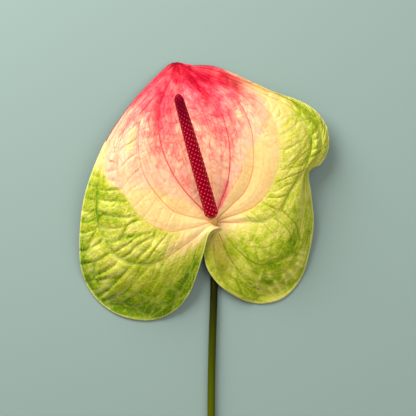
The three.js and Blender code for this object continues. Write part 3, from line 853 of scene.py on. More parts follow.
@dataclass
class Spathe:
    """The heart-shaped leaf blade: one closed shell, fine above and coarser below, in millimetres."""

    rows: int = 408
    coarseness: int = 3
    thickness: float = 0.75
    thickest: float = 1.25
    broad_height: float = 0.9
    cushion_height: float = 1.25
    wrinkle_height: float = 0.36
    least_quilting: float = 0.08
    vein_groove: float = 0.14
    vein_groove_width: float = 0.7
    vein_shoulder: float = 1.6
    minor_groove: float = 0.1
    minor_groove_width: float = 0.6
    minor_shoulder: float = 0.8
    hill_height: float = 0.5
    hill_size: float = 13.0
    knoll_height: float = 0.22
    knoll_size: float = 4.0
    bend_size: float = 11.0
    small_bend_size: float = 4.3
    bend_mm: float = 1.1
    reach: float = 2.5
    far: float = 99.0
    flat_ends: Edges = (0.0, 0.04, 0.985, 1.0)
    flush_mm: float = 10.0
    cloud_plane: float = 4.7
    blush_share: float = 0.1
    pink_share: float = 0.58
    pink_curve: float = 2.5
    crimson_share: float = 0.3
    most_pink: float = 1.1
    red_touch: float = 0.3
    dark_and_shade_touch: float = 0.35
    pale_and_lit_touch: float = 0.25
    quilting: Quilting = field(default_factory=Quilting)
    wrinkling: Quilting = field(default_factory=lambda: Quilting(40, size=0.5, stretch=0.7, crease_mm=0.45))
    lanes: Array = field(init=False)
    along: Array = field(init=False)

    def __post_init__(self) -> None:
        """Spaces the mesh's columns over the lanes and its rows along them."""
        parts = [lane + np.arange(VEINS[lane].columns) / VEINS[lane].columns for lane in range(LANES)]
        self.lanes = np.concatenate([*parts, [float(LANES)]])
        self.along = np.linspace(0, 1, self.rows + 1)

    def sheet(self, along: Array, lanes: Array) -> Array:
        """The smooth blade under its relief, in millimetres, shaped (along, lanes, 3)."""
        veins = np.stack([smooth_curve(np.array(vein.points), along) for vein in VEINS], axis=1)
        return smooth_curve(veins, lanes / LANES)

    def roughness_of_form(self, lane: Array, along: Array) -> Array:
        """How strongly the blade is quilted, 0 in the smooth middle to 1 in the lobes."""
        inward = ease(lane, *LEFT_RIM_TO_LOBE)
        left = LEFT_RELIEF.at(along) * inward + LEFT_RIM_RELIEF.at(along) * (1 - inward)
        outward = ease(lane, *RIGHT_LOBE_TO_RIM)
        right = RIGHT_RELIEF.at(along) * (1 - outward) + RIGHT_RIM_RELIEF.at(along) * outward
        lobes = left * ease(lane, *LEFT_LOBE_FROM_MIDDLE) + right * ease(lane, *RIGHT_LOBE_FROM_MIDDLE)
        between = sum(region.at(lane, along) for region in QUILTED)
        return np.clip(self.least_quilting + lobes + between, 0, 1)

    def relief(self) -> dict[str, Array]:
        """Works out the blade's points and the fields that its material reads.

        Returns:
            Arrays by name, one value for each mesh point; "point" is in millimetres.
        """
        point = self.sheet(self.along, self.lanes)
        along, lane = np.meshgrid(self.along, self.lanes, indexing="ij")
        length = np.linalg.norm(np.gradient(point, self.along, axis=0), axis=-1)
        width = np.linalg.norm(np.gradient(point, self.lanes, axis=1), axis=-1)
        strength = self.roughness_of_form(lane, along)
        number = np.minimum(lane.astype(int), LANES - 1)
        share = lane - number
        inner = ((lane > 0.5) & (lane < LANES - 0.5))
        vein_gap = np.where(inner, np.minimum(share, 1 - share) * width, self.far)
        minor_gap, minor_tone, minor_strength = self.nearest_stroke(point)
        bend = self.clouds(point, self.bend_size) + 0.5 * self.clouds(point, self.small_bend_size)
        ribs = along + self.bend_mm * bend / length
        across = share + self.bend_mm * bend[::-1, ::-1] / width
        cushions, edge, wrinkles, rib = (np.zeros_like(lane) for _ in range(4))
        for k in range(LANES):
            here = np.s_[:, (number == k).any(axis=0)]
            spot = (ribs[here], across[here], length[here], width[here], k)
            cushions[here], edge[here] = self.quilting.raise_lane(*spot)
            wrinkles[here], _ = self.wrinkling.raise_lane(*spot)
            rib[here] = ribs[here] - rib_slope(k + 0.5, along[here]) * (share[here] - 0.5)
        shallow = SHALLOW_VEINS.at(lane, along)
        into_vein = 1 - (1 - shallow) * bell(vein_gap, self.vein_shoulder, 1.5)
        into_vein *= 1 - 0.5 * minor_strength * bell(minor_gap, self.minor_shoulder)
        crown = np.sin(np.pi * along) * np.sin(np.pi * lane) ** 2
        height = self.broad_height * crown * (1 - LESS_CROWNED.at(lane, along))
        height += strength * self.cushion_height * cushions * into_vein
        height += (0.1 + 0.9 * strength) * self.wrinkle_height * wrinkles * into_vein
        height -= self.vein_groove * (1 - shallow) * bell(vein_gap, self.vein_groove_width)
        height -= self.minor_groove * minor_strength * bell(minor_gap, self.minor_groove_width)
        height += self.touched(Effect.HEIGHT, point)
        height += self.hill_height * self.clouds(point, self.hill_size)
        height += self.knoll_height * self.clouds(point, self.knoll_size) * (0.3 + strength)
        height *= plateau(along, self.flat_ends)
        point[..., 2] = np.maximum(point[..., 2] + height, self.thickness)
        rim_gap = np.where(inner, self.far, np.minimum(lane, LANES - lane) * width)
        return {
            "point": point, "lane": lane, "along": along, "strength": strength,
            "crease": np.minimum(edge, vein_gap), "vein_gap": vein_gap, "rim_gap": rim_gap,
            "minor_gap": minor_gap, "minor_tone": minor_tone, "minor_strength": minor_strength,
            "cushion": (cushions + 0.5 * wrinkles) * into_vein / 1.5, "rib": rib,
        }

    def nearest_stroke(self, point: Array) -> tuple[Array, Array, Array]:
        """Finds each point's distance to the nearest minor vein, with that vein's tone and strength."""
        gap = np.full(point.shape[:-1], self.reach)
        tone = np.zeros_like(gap)
        strength = np.zeros_like(gap)
        for kind, strokes in MINOR_VEINS.items():
            for stroke in strokes:
                away = path_gap(stroke.path, point, self.reach)
                closer = away < gap
                gap[closer] = away[closer]
                tone[closer] = kind.value
                strength[closer] = stroke.strength
        return gap, tone, strength

    def clouds(self, point: Array, size_mm: float) -> Array:
        """Soft hills over the blade, -1 to 1, of about the given size and always the same."""
        flat = point.reshape(-1, 3)
        made = [noise.noise(Vector((x / size_mm, y / size_mm, self.cloud_plane))) for x, y, _ in flat]
        return np.array(made).reshape(point.shape[:-1])

    def zones(self, lane: Array, along: Array, point: Array) -> dict[str, Array]:
        """Lays out the blade's colour zones.

        Args:
            lane: Each point's place across, in lanes from the left margin.
            along: Each point's place along, 0 at the neck to 1 at the tip.
            point: The points in millimetres.

        Returns:
            Shares from 0 to about 1 by zone name.
        """
        blush, rose = BLUSH_FROM.at(lane), ROSE_FROM.at(lane)
        rise = (along - blush) / (rose - blush)
        blushed = ease(rise, -0.25, 0.0) * (0.6 + 0.4 * ease(along, 0.15, 0.4))
        pink = self.blush_share * blushed + self.pink_share * np.clip(rise, 0, 1) ** self.pink_curve
        rise = (along - rose) / (CRIMSON_FROM.at(lane) - rose)
        pink += self.crimson_share * np.clip(rise, 0, 1)
        pink += self.touched(Effect.PINK, point) + self.red_touch * self.touched(Effect.RED, point)
        green = GREEN_LEVEL.at(lane) * (1 - GREEN_FADE.at(lane) * ease(along, 0.48, 0.62))
        green *= ease(along - GREEN_FROM.at(lane), -0.04, 0.1)
        green *= ease(along - GREEN_TO.at(lane), 0.01, -0.025)
        green = np.maximum(green, YELLOWED.at(lane, along))
        # Deeper green from the dark touches, partly painted shade, and paler colour from the pale touches,
        # partly painted light and highlights
        touches = self.dark_and_shade_touch * self.touched(Effect.DARK, point)
        touches -= self.pale_and_lit_touch * self.touched(Effect.PALE, point)
        green = np.maximum(green + touches * ease(green, 0.04, 0.3), 0.4 * green)
        # milk holds the painted highlights
        # olive holds the painted shade
        return {
            "pink": np.clip(pink, 0, self.most_pink), "green": np.clip(green, 0, 1),
            "olive": self.touched(Effect.OLIVE, point), "milk": self.touched(Effect.MILK, point),
            "base": np.exp(-np.hypot(point[..., 0], point[..., 1]) / self.flush_mm),
        }

    @staticmethod
    def touched(effect: Effect, point: Array) -> Array:
        """Adds up the soft touches of one kind at each point."""
        return sum(touch.spread(point) for touch in TOUCHES[effect])

    @staticmethod
    def vein_look(lane: Array, along: Array) -> tuple[Array, Array]:
        """Gives the colour number and the strength of the nearest main vein at each point."""
        tone = np.zeros_like(lane)
        strength = np.zeros_like(lane)
        nearest = np.rint(lane).astype(int)
        for number, vein in enumerate(VEINS):
            if vein.keys:
                here = nearest == number
                places, tones, strengths = zip(*vein.keys)
                tone[here] = np.interp(along[here], places, [shown.value for shown in tones])
                strength[here] = np.interp(along[here], places, strengths)
        return tone, strength

    def build(self) -> bpy.types.Object:
        """Models the blade, hangs its fields on it and dresses it.

        Returns:
            The spathe.
        """
        fields = self.relief()
        point = fields.pop("point")
        slope = np.cross(np.gradient(point, axis=0), np.gradient(point, axis=1))
        upright = np.abs(slope[..., 2]) / np.maximum(np.linalg.norm(slope, axis=-1), 1e-9)
        depth = np.minimum(self.thickness / np.maximum(upright, 0.1), self.thickest)
        depth[-1] = self.thickness
        upper = point + node_place(point) / MM
        lower = upper.copy()
        lower[..., 2] = np.maximum(self.lowest_near(lower[..., 2]) - depth, 0)
        mesh = bmesh.new()
        mesh.verts.layers.int.new("spot")
        numbers = np.arange(1, upright.size + 1).reshape(upright.shape)
        top = lay_grid(mesh, upper, numbers)
        step = self.coarseness
        bottom = lay_grid(mesh, lower[::step, ::step], numbers[::step, ::step])
        self.close_rim(mesh, top, bottom)
        bmesh.ops.remove_doubles(mesh, verts=mesh.verts, dist=1e-3 * MM)
        bmesh.ops.recalc_face_normals(mesh, faces=mesh.faces)
        tone, strength = self.vein_look(fields["lane"], fields["along"])
        fields.update(self.zones(fields["lane"], fields["along"], point))
        fields.update(vein_tone=tone, vein_strength=strength)
        return finish_piece("spathe_blade", mesh, SpatheSkin().material(), "spathe", fields)

    @staticmethod
    def lowest_near(height: Array) -> Array:
        """The lowest height among each point and its eight neighbours."""
        padded = np.pad(height, 1, mode="edge")
        return np.lib.stride_tricks.sliding_window_view(padded, (3, 3)).min(axis=(-2, -1))

    def close_rim(self, mesh: bmesh.types.BMesh, top: Array, bottom: Array) -> None:
        """Joins the fine upper grid to the coarse lower one all round."""
        step = self.coarseness
        runs = ((top[:, 0], bottom[:, 0]), (top[:, -1], bottom[:, -1]), (top[0], bottom[0]),
                (top[-1], bottom[-1]))
        for fine, coarse in runs:
            for k in range(len(coarse) - 1):
                mesh.faces.new([*fine[k * step:(k + 1) * step + 1], coarse[k + 1], coarse[k]])


def node_place(point: Array) -> Array:
    """Finds where the neck's centre is in the frame, by laying the blade into its solid's box.

    Args:
        point: The blade's points in millimetres from the neck's centre.

    Returns:
        The neck's centre in metres.
    """
    low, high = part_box("spathe")
    middle = (point[..., 0].min() + point[..., 0].max()) / 2 * MM
    return np.array([(low.x + high.x) / 2 - middle, high.y - point[..., 1].max() * MM, 0.0])


@dataclass(frozen=True)
class SpatheSkin:
    """The waxy skin of the spathe, from crimson tip over cream to green lobes."""

    cream: Colour = srgb(243, 198, 124)
    milk: Colour = srgb(246, 208, 142)
    # Painted sheen colour along the ripples of the cream
    ripple_sheen_paint: Colour = srgb(248, 217, 156)
    peach: Colour = srgb(255, 230, 168)
    straw: Colour = srgb(230, 204, 124)
    yellow: Colour = srgb(212, 197, 98)
    # Painted sheen colour for the rib tops
    painted_sheen: Colour = srgb(214, 208, 152)
    # Painted highlight colour for the blisters and cushion tops
    highlight_paint: Colour = srgb(234, 230, 112)
    pale_lime: Colour = srgb(192, 186, 62)
    lime: Colour = srgb(173, 180, 36)
    leaf: Colour = srgb(156, 168, 24)
    deep: Colour = srgb(132, 156, 4)
    darkest: Colour = srgb(90, 126, 0)
    blush: Colour = srgb(250, 190, 156)
    peach_pink: Colour = srgb(244, 150, 130)
    pink: Colour = srgb(242, 112, 110)
    rose: Colour = srgb(238, 80, 90)
    red: Colour = srgb(226, 50, 70)
    crimson: Colour = srgb(208, 18, 48)
    valley: Colour = srgb(182, 0, 38)
    edge: Colour = srgb(120, 6, 34)
    shade: Colour = srgb(160, 136, 60)
    gleam: Colour = srgb(255, 250, 170)
    glow: Colour = srgb(255, 150, 160)
    spoke: Colour = srgb(244, 166, 98)
    right_tint: Colour = srgb(244, 255, 225)
    net_cream: Colour = srgb(250, 206, 150)
    net_pink: Colour = srgb(244, 104, 104)
    net_lime: Colour = srgb(206, 204, 90)
    net_green: Colour = srgb(112, 132, 10)
    vein_red: Colour = srgb(214, 30, 56)
    vein_orange: Colour = srgb(226, 124, 62)
    vein_pale: Colour = srgb(206, 208, 120)
    vein_dark: Colour = srgb(76, 92, 8)
    pale_rim: Colour = srgb(236, 230, 132)
    roughness: float = 0.36
    mottle_mm: float = 3.2
    grain_mm: float = 0.8
    drift_mm: float = 6.0
    wrinkle_mm: float = 2.6
    pore_mm: float = 0.9
    highlight_patch_mm: float = 1.4
    minor_cover: float = 0.65
    main_cover: float = 0.9

    def material(self) -> bpy.types.Material:
        """Builds the skin's material from the blade's fields."""
        mix = Shader("spathe skin")
        grown = self.grown_place(mix)
        mottle = mix.noise(self.mottle_mm, 5.0, rough=0.68)
        grain = mix.noise(self.grain_mm)
        streak = mix.clouds(grown, 0.55, 4.0)
        ribs = mix.clouds(self.grown_place(mix, "rib", 3.0, 150.0), 0.45, 3.0, 0.6)
        net = self.net(mix, grown)
        colour = self.greens(mix, mottle, grain, ribs, streak)
        colour = self.pinks(mix, colour, streak, grain)
        # Painted shade: the olive field multiplies the shade colour into its places
        colour = mix.blend(mix.times("olive", 0.55), colour, self.shade, "MULTIPLY")
        colour = self.net_colour(mix, colour, net)
        colour = self.veins(mix, colour, "minor", self.minor_cover)
        colour = self.veins(mix, colour, "vein", self.main_cover)
        colour = self.rim(mix, colour)
        tint = mix.blend(mix.span("pink", 0.1, 0.5), self.gleam, self.glow)
        mix.plain(Base_Color=colour, Roughness=self.roughness, Specular_IOR_Level=0.34, Specular_Tint=tint)
        lively = mix.span(mix.math("MAXIMUM", "pink", "strength"), 0.05, 0.3, 0.6, 1.0)
        normal = mix.bump(mix.noise(self.wrinkle_mm, 4.0), 0.5, mix.times(lively, 0.6))
        normal = mix.bump(streak, 0.35, mix.times(lively, 0.5), normal)
        normal = mix.bump(ribs, 0.7, mix.span("strength", 0.2, 0.9, 0.0, 0.35), normal)
        normal = mix.bump(net, 0.1, mix.times(lively, 0.7), normal)
        mix.plain(Normal=mix.bump(mix.noise(self.pore_mm, 2.0), 0.12, 0.6, normal))
        return mix.material

    @staticmethod
    def grown_place(mix: Shader, run: str = "along", across: float = 9.0, along: float = 36.0) -> Socket:
        """A place on the blade, measured across its veins and along them by the field called run."""
        parts = {"X": mix.times("lane", across), "Y": mix.times(run, along)}
        return mix.node("ShaderNodeCombineXYZ", parts).outputs[0]

    @staticmethod
    def net(mix: Shader, grown: object) -> Socket:
        """The fine net of veins: 0 on a vein and 1 in the meshes."""
        swirl = mix.node("ShaderNodeTexNoise", {"Vector": grown, "Scale": 0.5}).outputs["Color"]
        moved = mix.node("ShaderNodeVectorMath", {0: swirl, 1: swirl, 2: grown}, operation="MULTIPLY_ADD")
        cells = mix.node("ShaderNodeTexVoronoi", {"Vector": moved.outputs[0], "Scale": 0.5},
                       feature="DISTANCE_TO_EDGE")
        return mix.span(cells.outputs["Distance"], 0.0, 0.12)

    def net_colour(self, mix: Shader, colour: object, net: object) -> Socket:
        """Lays the fine net over a colour: warm on cream and pink, lime on the left, green on the right."""
        share = mix.times(mix.math("SUBTRACT", 1.0, net), mix.span("pink", 0.0, 0.2, 0.26, 0.42))
        warm = mix.blend(mix.span("pink", 0.0, 0.3), self.net_cream, self.net_pink)
        colour = mix.blend(mix.times(share, mix.span("green", 0.3, 0.05)), colour, warm, "MULTIPLY")
        right = mix.span("lane", 8.6, 9.2)
        share = mix.times(share, mix.span("green", 0.25, 0.5))
        share = mix.times(share, mix.span(right, 0.0, 1.0, 1.0, 2.2))
        return mix.blend(share, colour, mix.blend(right, self.net_lime, self.net_green))

    def pinks(self, mix: Shader, colour: object, streak: object, grain: object) -> Socket:
        """Washes pink over the upper middle, streaked along the veins, to red at the tip."""
        fibre = mix.clouds(mix.stretch(self.grown_place(mix), (3.2, 0.5, 1.0)), 0.8, 3.0)
        drift = mix.noise(self.drift_mm, 2.0)
        swing = mix.total(
            mix.span(streak, 0.3, 0.7, -0.1, 0.1), mix.span(grain, 0.25, 0.75, -0.06, 0.06),
            mix.span(fibre, 0.3, 0.7, -0.07, 0.07), mix.span(drift, 0.35, 0.65, -0.1, 0.1))
        amount = mix.math("MULTIPLY_ADD", swing, mix.span("pink", 0.0, 0.3), "pink")
        tints = mix.ramp(amount, (
            (0.0, self.blush), (0.14, self.blush), (0.3, self.peach_pink), (0.5, self.pink),
            (0.68, self.rose), (0.82, self.red), (0.94, self.crimson), (1.0, self.valley)))
        return mix.blend(mix.span(amount, 0.0, 0.14), colour, tints)

    def greens(self, mix: Shader, mottle: object, grain: object, ribs: object, streak: object) -> Socket:
        """Cream in the middle, peach round the neck and green in the lobes, with painted light, shade, sheen
        and highlights.
        """
        base = mix.blend(mix.span(mottle, 0.3, 0.7, 0.0, 0.7), self.cream, self.milk)
        # Painted sheen: paler cream along the ribs where the blade is only gently quilted
        sheen_on_ripples = mix.times(mix.span(ribs, 0.4, 0.65), mix.span("strength", 0.12, 0.3, 0.0, 0.7))
        base = mix.blend(sheen_on_ripples, base, self.ripple_sheen_paint)
        base = mix.blend("base", base, self.peach)
        spokes = mix.clouds(mix.stretch(self.grown_place(mix), (1.0, 0.2, 1.0)), 0.5, 2.0)
        spokes = mix.times(mix.span(spokes, 0.35, 0.7), "base")
        base = mix.blend(mix.times(spokes, 0.3), base, self.spoke)
        ribbed = mix.span("strength", 0.2, 0.7)
        # Painted light and shade: paler on cushion tops, greener and darker near creases, and light and dark
        # bands along the ribs
        relief = mix.total(
            mix.span("cushion", 0.0, 1.0, 0.13, -0.11), mix.span("crease", 0.0, 0.5, 0.2, 0.0),
            mix.span(ribs, 0.35, 0.65, 0.09, -0.09))
        swing = mix.total(mix.span(mottle, 0.35, 0.65, -0.12, 0.12), mix.span(grain, 0.3, 0.7, -0.14, 0.14))
        swing = mix.math("MULTIPLY_ADD", relief, ribbed, swing)
        flow = mix.times(mix.math("SUBTRACT", 1.0, ribbed), mix.span(streak, 0.35, 0.65, -0.15, 0.15))
        swing = mix.total(swing, flow)
        amount = mix.math("MULTIPLY_ADD", swing, mix.span("green", 0.0, 0.4), "green")
        greens = mix.ramp(amount, (
            (0.0, self.straw), (0.2, self.yellow), (0.4, self.pale_lime), (0.55, self.lime),
            (0.7, self.leaf), (0.85, self.deep), (1.0, self.darkest)))
        # Painted sheen: a pale silvery colour on the rib tops where the blade is quilted
        painted_sheen = mix.times(mix.span(ribs, 0.5, 0.7), mix.span("strength", 0.4, 0.9, 0.0, 0.35))
        greens = mix.blend(painted_sheen, greens, self.painted_sheen)
        greens = mix.blend(mix.span("lane", 8.8, 9.4), greens, self.right_tint, "MULTIPLY")
        # Painted highlights: the milk field, broken up by noise, blends in the highlight colour
        milk = mix.times("milk", mix.span(mix.noise(self.highlight_patch_mm), 0.3, 0.5, 0.4, 1.0))
        greens = mix.blend(milk, greens, self.highlight_paint)
        share = mix.math("MAXIMUM", amount, mix.times("green", 0.5))
        return mix.blend(mix.span(share, 0.0, 0.16), base, greens)

    def veins(self, mix: Shader, colour: object, kind: str, cover: float) -> Socket:
        """Draws veins as fine lines over a colour.

        Args:
            mix: The material under way.
            colour: The colour beneath.
            kind: How the names of their fields begin: the gap in millimetres, the tone and the strength.
            cover: How far a full line covers the colour beneath.

        Returns:
            The colour with the lines on it.
        """
        tones = mix.ramp(mix.times(kind + "_tone", 1 / DARK.value), (
            (0.0, self.vein_red), (0.33, self.vein_orange), (0.66, self.vein_pale), (1.0, self.vein_dark)))
        share = mix.times(mix.span(kind + "_gap", 0.12, 0.5, 1.0, 0.0), kind + "_strength")
        return mix.blend(mix.times(share, cover), colour, tones)

    def rim(self, mix: Shader, colour: object) -> Socket:
        """Edges the blade with its pale line, dark crimson round the tip."""
        line = mix.span("rim_gap", 0.4, 1.2, 1.0, 0.0)
        left = mix.times(mix.span("lane", 1.0, 0.0), mix.span("along", 0.68, 0.78))
        pink = mix.math("MULTIPLY_ADD", left, 0.6, "pink")
        tint = mix.blend(mix.span(pink, 0.3, 0.5), self.pale_rim, self.edge)
        return mix.blend(mix.times(line, mix.span(pink, 0.3, 0.5, 0.6, 0.95)), colour, tint)


SPADIX_HEADING = math.radians(106)
SPADIX_RISE = math.radians(25)
NECK_RADIUS = 1.55
NECK_BEND = 2.6
NECK_TOP = 8.4
NECK_STRAIGHT = 1.0
HEADING = Vector((math.cos(SPADIX_HEADING), math.sin(SPADIX_HEADING), 0))
SPADIX_AXIS = HEADING * math.cos(SPADIX_RISE) + Vector((0, 0, math.sin(SPADIX_RISE)))
NECK_TURN = math.pi / 2 - SPADIX_RISE


def neck_point(angle: float) -> Vector:
    """The neck's centre line, in millimetres, after it has turned by an angle from upright."""
    point = HEADING * (NECK_BEND * (1 - math.cos(angle)))
    return point + Vector((0, 0, NECK_TOP + NECK_BEND * math.sin(angle)))


NECK_END = neck_point(NECK_TURN) + SPADIX_AXIS * NECK_STRAIGHT


def tube(rings: Array) -> bmesh.types.BMesh:
    """Lays a tube of faces over rings of points and closes both its ends.

    Args:
        rings: Points in millimetres, shaped (rings, sides, 3).

    Returns:
        The mesh, whose "spot" layer numbers the points from 1.
    """
    mesh = bmesh.new()
    mesh.verts.layers.int.new("spot")
    rows, sides = rings.shape[:2]
    numbers = np.arange(1, rows * sides + 1).reshape(rows, sides)
    around = [*range(sides), 0]
    lay_grid(mesh, rings[:, around], numbers[:, around])
    bmesh.ops.remove_doubles(mesh, verts=mesh.verts, dist=1e-4 * MM)
    bmesh.ops.holes_fill(mesh, edges=[e for e in mesh.edges if e.is_boundary], sides=0)
    bmesh.ops.recalc_face_normals(mesh, faces=mesh.faces)
    return mesh


@dataclass
class Spadix:
    """The crimson spike, covered with lozenge florets that each bear a pale dot."""

    length: float = 69.0
    radius: float = 3.5
    tip_radius: float = 2.2
    gap: float = 0.3
    left_spirals: int = 11
    right_spirals: int = 7
    left_pitch: float = 3.4
    right_pitch: float = 2.79
    sides: int = 168
    rows: int = 420
    groove: float = 0.2
    bead: float = 0.14
    foot: float = 2.6
    foot_share: float = 0.22
    cap: float = 3.4
    bare: tuple[float, float] = (0.66, 0.96)
    bare_groove_loss: float = 0.75
    groove_start: float = 1.5
    groove_edge: float = 0.45
    bead_edge: tuple[float, float] = (0.36, 0.12)

    def profile(self, distance: Array) -> Array:
        """The spike's radius in millimetres at a distance from its base."""
        body = self.radius + (self.tip_radius - self.radius) * (distance / self.length) ** 3
        base = np.sqrt(np.minimum(1, self.foot_share + distance / self.foot))
        left = np.minimum(1, (self.length - distance) / self.cap)
        return body * base * np.sqrt(np.maximum(0, 1 - (1 - left) ** 2))

    def floret(self, distance: Array, turn: Array) -> tuple[Array, Array]:
        """Finds each point's place in its floret.

        Args:
            distance: Millimetres from the base.
            turn: Share of a whole turn round the spike.

        Returns:
            The distance from the floret's edge, 0 to 1 at its middle, and the distance from its
            middle in millimetres.
        """
        rising = self.left_spirals * turn - distance / self.left_pitch
        falling = self.right_spirals * turn + distance / self.right_pitch
        a, b = rising - np.rint(rising), falling - np.rint(falling)
        edge = 1 - 2 * np.maximum(np.abs(a), np.abs(b))
        crossing = self.left_spirals / self.right_pitch + self.right_spirals / self.left_pitch
        side = (a / self.right_pitch + b / self.left_pitch) / crossing * 2 * math.pi * self.radius
        run = (b * self.left_spirals - a * self.right_spirals) / crossing
        return edge, np.hypot(side, run)

    def build(self, place: Vector) -> bpy.types.Object:
        """Models the spike.

        Args:
            place: The neck's centre in metres.

        Returns:
            The spadix.
        """
        side = Vector((-math.sin(SPADIX_HEADING), math.cos(SPADIX_HEADING), 0))
        up = SPADIX_AXIS.cross(side)
        start = np.array(place / MM + NECK_END + SPADIX_AXIS * self.gap)
        distance = np.linspace(0, self.length, self.rows + 1)[:, None]
        turn = (np.arange(self.sides) / self.sides)[None, :]
        edge, middle = self.floret(distance, turn)
        smooth = ease(distance / self.length, *self.bare)
        fade = (1 - self.bare_groove_loss * smooth) * np.minimum(1, distance / self.groove_start)
        reach = self.profile(distance) - self.groove * (1 - ease(edge, 0.0, self.groove_edge)) * fade
        reach += self.bead * ease(middle, *self.bead_edge) * (1 - smooth)
        reach = np.maximum(reach, 0) * (distance < self.length)
        angle = 2 * math.pi * turn
        rings = start + distance[..., None] * np.array(SPADIX_AXIS)
        rings = rings + (reach * np.cos(angle))[..., None] * np.array(side)
        rings = rings + (reach * np.sin(angle))[..., None] * np.array(up)
        fields = {"floret_edge": edge, "floret_middle": middle, "smooth": smooth + 0 * turn}
        return finish_piece("spadix_spike", tube(rings), SpadixSkin().material(), "spadix", fields)


@dataclass(frozen=True)
class SpadixSkin:
    """Crimson florets with pale pink dots, darker and bare towards the tip."""

    body: Colour = srgb(176, 0, 34)
    groove: Colour = srgb(116, 0, 22)
    tip: Colour = srgb(128, 0, 30)
    dot: Colour = srgb(255, 112, 126)

    def material(self) -> bpy.types.Material:
        """Builds the spike's material from its florets' fields."""
        mix = Shader("spadix skin")
        body = mix.blend("smooth", self.body, self.tip)
        body = mix.blend(mix.span("floret_edge", 0.0, 0.3, 0.6, 0.0), body, self.groove)
        dots = mix.span("floret_middle", 0.18, 0.35, 1.0, 0.0)
        dots = mix.times(dots, mix.span("smooth", 0.2, 1.0, 1.0, 0.2))
        mix.plain(Base_Color=mix.blend(dots, body, self.dot), Roughness=0.25, Specular_IOR_Level=0.14,
                Specular_Tint=self.dot)
        return mix.material


@dataclass
class Stem:
    """The stalk on the table, its knee, and the neck that carries spathe and spadix."""

    radius: float = 1.9
    knee: float = 5.0
    line: Path = (
        (0.2, -20), (-0.1, -38), (-0.9, -62), (-1.4, -96), (-0.6, -140), (1.6, -190), (4.4, -236))
    sides: int = 40
    stalk_steps: int = 180
    knee_steps: int = 12
    neck_steps: int = 8

    def build(self, place: Vector) -> bpy.types.Object:
        """Models the stem.

        Args:
            place: The neck's centre in metres.

        Returns:
            The stem.
        """
        line = np.array([(x, y, self.radius) for x, y in ((0, -self.knee), *self.line)])
        steps = np.linspace(1, 0, self.stalk_steps + 1)
        centres = [Vector(p) for p in smooth_curve(line, steps)]
        rings = []
        for k, centre in enumerate(centres):
            ahead = centres[min(k + 1, len(centres) - 1)] - centres[max(k - 1, 0)]
            rings.append(self.ring(place, centre, ahead.normalized(), self.radius))
        for k in range(1, self.knee_steps + 1):
            angle = math.pi / 2 * k / self.knee_steps
            centre = Vector((0, -self.knee + self.knee * math.sin(angle),
                             self.radius + self.knee * (1 - math.cos(angle))))
            direction = Vector((0, math.cos(angle), math.sin(angle)))
            radius = self.radius + (NECK_RADIUS - self.radius) * k / self.knee_steps
            rings.append(self.ring(place, centre, direction, radius))
        for k in range(self.neck_steps + 1):
            angle = NECK_TURN * k / self.neck_steps
            direction = HEADING * math.sin(angle) + Vector((0, 0, math.cos(angle)))
            rings.append(self.ring(place, neck_point(angle), direction, NECK_RADIUS))
        rings.append(self.ring(place, NECK_END, SPADIX_AXIS, NECK_RADIUS))
        return finish_piece("stem_stalk", tube(np.array(rings)), StemSkin().material(), "stem", {})

    def ring(self, place: Vector, centre: Vector, direction: Vector, radius: float) -> list[Vector]:
        """One round of points square to the stem, in millimetres."""
        side = (Vector((1, 0, 0)) - direction * direction.x).normalized()
        up = side.cross(direction)
        made = []
        for k in range(self.sides):
            angle = 2 * math.pi * (k + 0.5) / self.sides
            spot = side * (radius * math.sin(angle)) - up * (radius * math.cos(angle))
            point = centre + spot
            point.z = max(point.z, 0)
            made.append(place / MM + point)
        return made


@dataclass(frozen=True)
class StemSkin:
    """Dark olive stalk with fine fibres and painted spathe shadow towards the flower, greener towards its
    pale cut end, cream at the neck.
    """

    # upper is near black where the spathe's shadow is painted over the stalk's dark olive
    upper: Colour = srgb(12, 13, 0)
    lower: Colour = srgb(82, 90, 0)
    neck: Colour = srgb(236, 186, 104)
    fibre: Colour = srgb(104, 110, 12)
    cut: Colour = srgb(206, 206, 132)
    cut_mm: float = 0.8
    fibre_mm: float = 0.7
    shadowed_to_green: tuple[float, float] = (0.06, -0.03)
    green_to_neck: tuple[float, float] = (6.5 * MM, 8.5 * MM)

    def material(self) -> bpy.types.Material:
        """Builds the stalk's material."""
        mix = Shader("stem skin")
        place = mix.node("ShaderNodeTexCoord").outputs["Object"]
        height = mix.node("ShaderNodeSeparateXYZ", {0: place}).outputs["Z"]
        run = mix.node("ShaderNodeSeparateXYZ", {0: place}).outputs["Y"]
        # Painted shadow: near black towards the flower, olive further along the stalk
        body = mix.blend(mix.span(run, *self.shadowed_to_green), self.upper, self.lower)
        fibres = mix.noise(self.fibre_mm, place=mix.stretch(place, (1.0, 0.05, 1.0)))
        body = mix.blend(mix.span(fibres, 0.45, 0.75, 0.0, 0.16), body, self.fibre)
        body = mix.blend(mix.span(height, *self.green_to_neck), body, self.neck)
        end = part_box("stem")[0].y
        cut = self.cut_mm * MM
        body = mix.blend(mix.span(run, end + cut, end + cut / 2), body, self.cut)
        mix.plain(Base_Color=body, Roughness=0.45, Specular_IOR_Level=0.04,
                  Normal=mix.bump(fibres, 0.08, 0.6))
        return mix.material


@dataclass(frozen=True)
class Lamp:
    """A square soft light: its place seen from the flower, its size in metres and its power."""

    name: str
    offset: tuple[float, float, float]
    size: float
    power: float


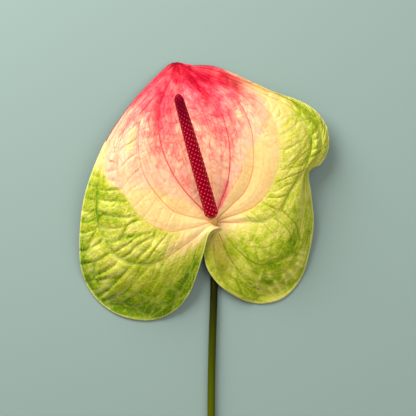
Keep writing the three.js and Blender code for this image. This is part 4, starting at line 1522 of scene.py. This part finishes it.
@dataclass
class Studio:
    """The plain pale floor, the soft lights and the camera that looks straight down."""

    height: float = 1.5
    picture_mm: float = 208.0
    aim_mm: tuple[float, float] = (-3.0, 7.0)
    level_mm: float = 8.0
    sensor_mm: float = 36.0
    floor_colour: Colour = srgb(140, 160, 152)
    floor_size: float = 3.0
    floor_drop: float = 0.0002
    sky_colour: Colour = (1.0, 0.98, 0.92, 1.0)
    sky_strength: float = 0.28
    lamps: tuple[Lamp, ...] = (
        Lamp("key", (-0.38, 0.52, 0.42), 0.6, 9.8), Lamp("fill", (0.5, 0.1, 0.9), 0.9, 4.2))

    def build(self, place: Vector) -> None:
        """Sets up floor, lights, world and camera.

        Args:
            place: The neck's centre in metres.
        """
        aim = place + Vector((*self.aim_mm, 0)) * MM
        self.camera(aim)
        self.floor(aim)
        for lamp in self.lamps:
            self.light(aim, lamp)
        world = bpy.data.worlds.new("studio air")
        bpy.context.scene.world = world
        world.use_nodes = True
        sky = world.node_tree.nodes["Background"]
        sky.inputs["Color"].default_value = self.sky_colour
        sky.inputs["Strength"].default_value = self.sky_strength
        bpy.context.scene.view_settings.view_transform = "Standard"

    def camera(self, aim: Vector) -> None:
        """Hangs the camera straight over the flower."""
        data = bpy.data.cameras.new("camera")
        data.sensor_width = self.sensor_mm
        data.lens = self.sensor_mm * (self.height - self.level_mm * MM) / (self.picture_mm * MM)
        eye = hang("camera", data)
        eye.location = Vector((aim.x, aim.y, self.height))
        bpy.context.scene.camera = eye

    def floor(self, aim: Vector) -> None:
        """Lays the pale floor."""
        mesh = bmesh.new()
        bmesh.ops.create_grid(mesh, x_segments=1, y_segments=1, size=self.floor_size)
        data = bpy.data.meshes.new("floor")
        mesh.to_mesh(data)
        mesh.free()
        mix = Shader("floor paint")
        mix.plain(Base_Color=self.floor_colour, Roughness=0.9)
        data.materials.append(mix.material)
        floor = hang("floor", data)
        floor.location = (aim.x, aim.y, -self.floor_drop)

    @staticmethod
    def light(aim: Vector, lamp: Lamp) -> None:
        """Hangs one lamp so that it looks at the flower."""
        data = bpy.data.lights.new(lamp.name, "AREA")
        data.size = lamp.size
        data.energy = lamp.power
        light = hang(lamp.name, data)
        light.location = aim + Vector(lamp.offset)
        light.rotation_euler = (-Vector(lamp.offset)).to_track_quat("-Z", "Y").to_euler()


def main() -> None:
    """Builds the flower and its studio."""
    logging.basicConfig(level=logging.INFO)
    spathe = Spathe()
    place = Vector(node_place(spathe.sheet(spathe.along, spathe.lanes)))
    log.info("neck at %s", tuple(round(part, 5) for part in place))
    Studio().build(place)
    spathe.build()
    Spadix().build(place)
    Stem().build(place)
    bpy.context.view_layer.update()


if __name__ == "__main__":
    main()
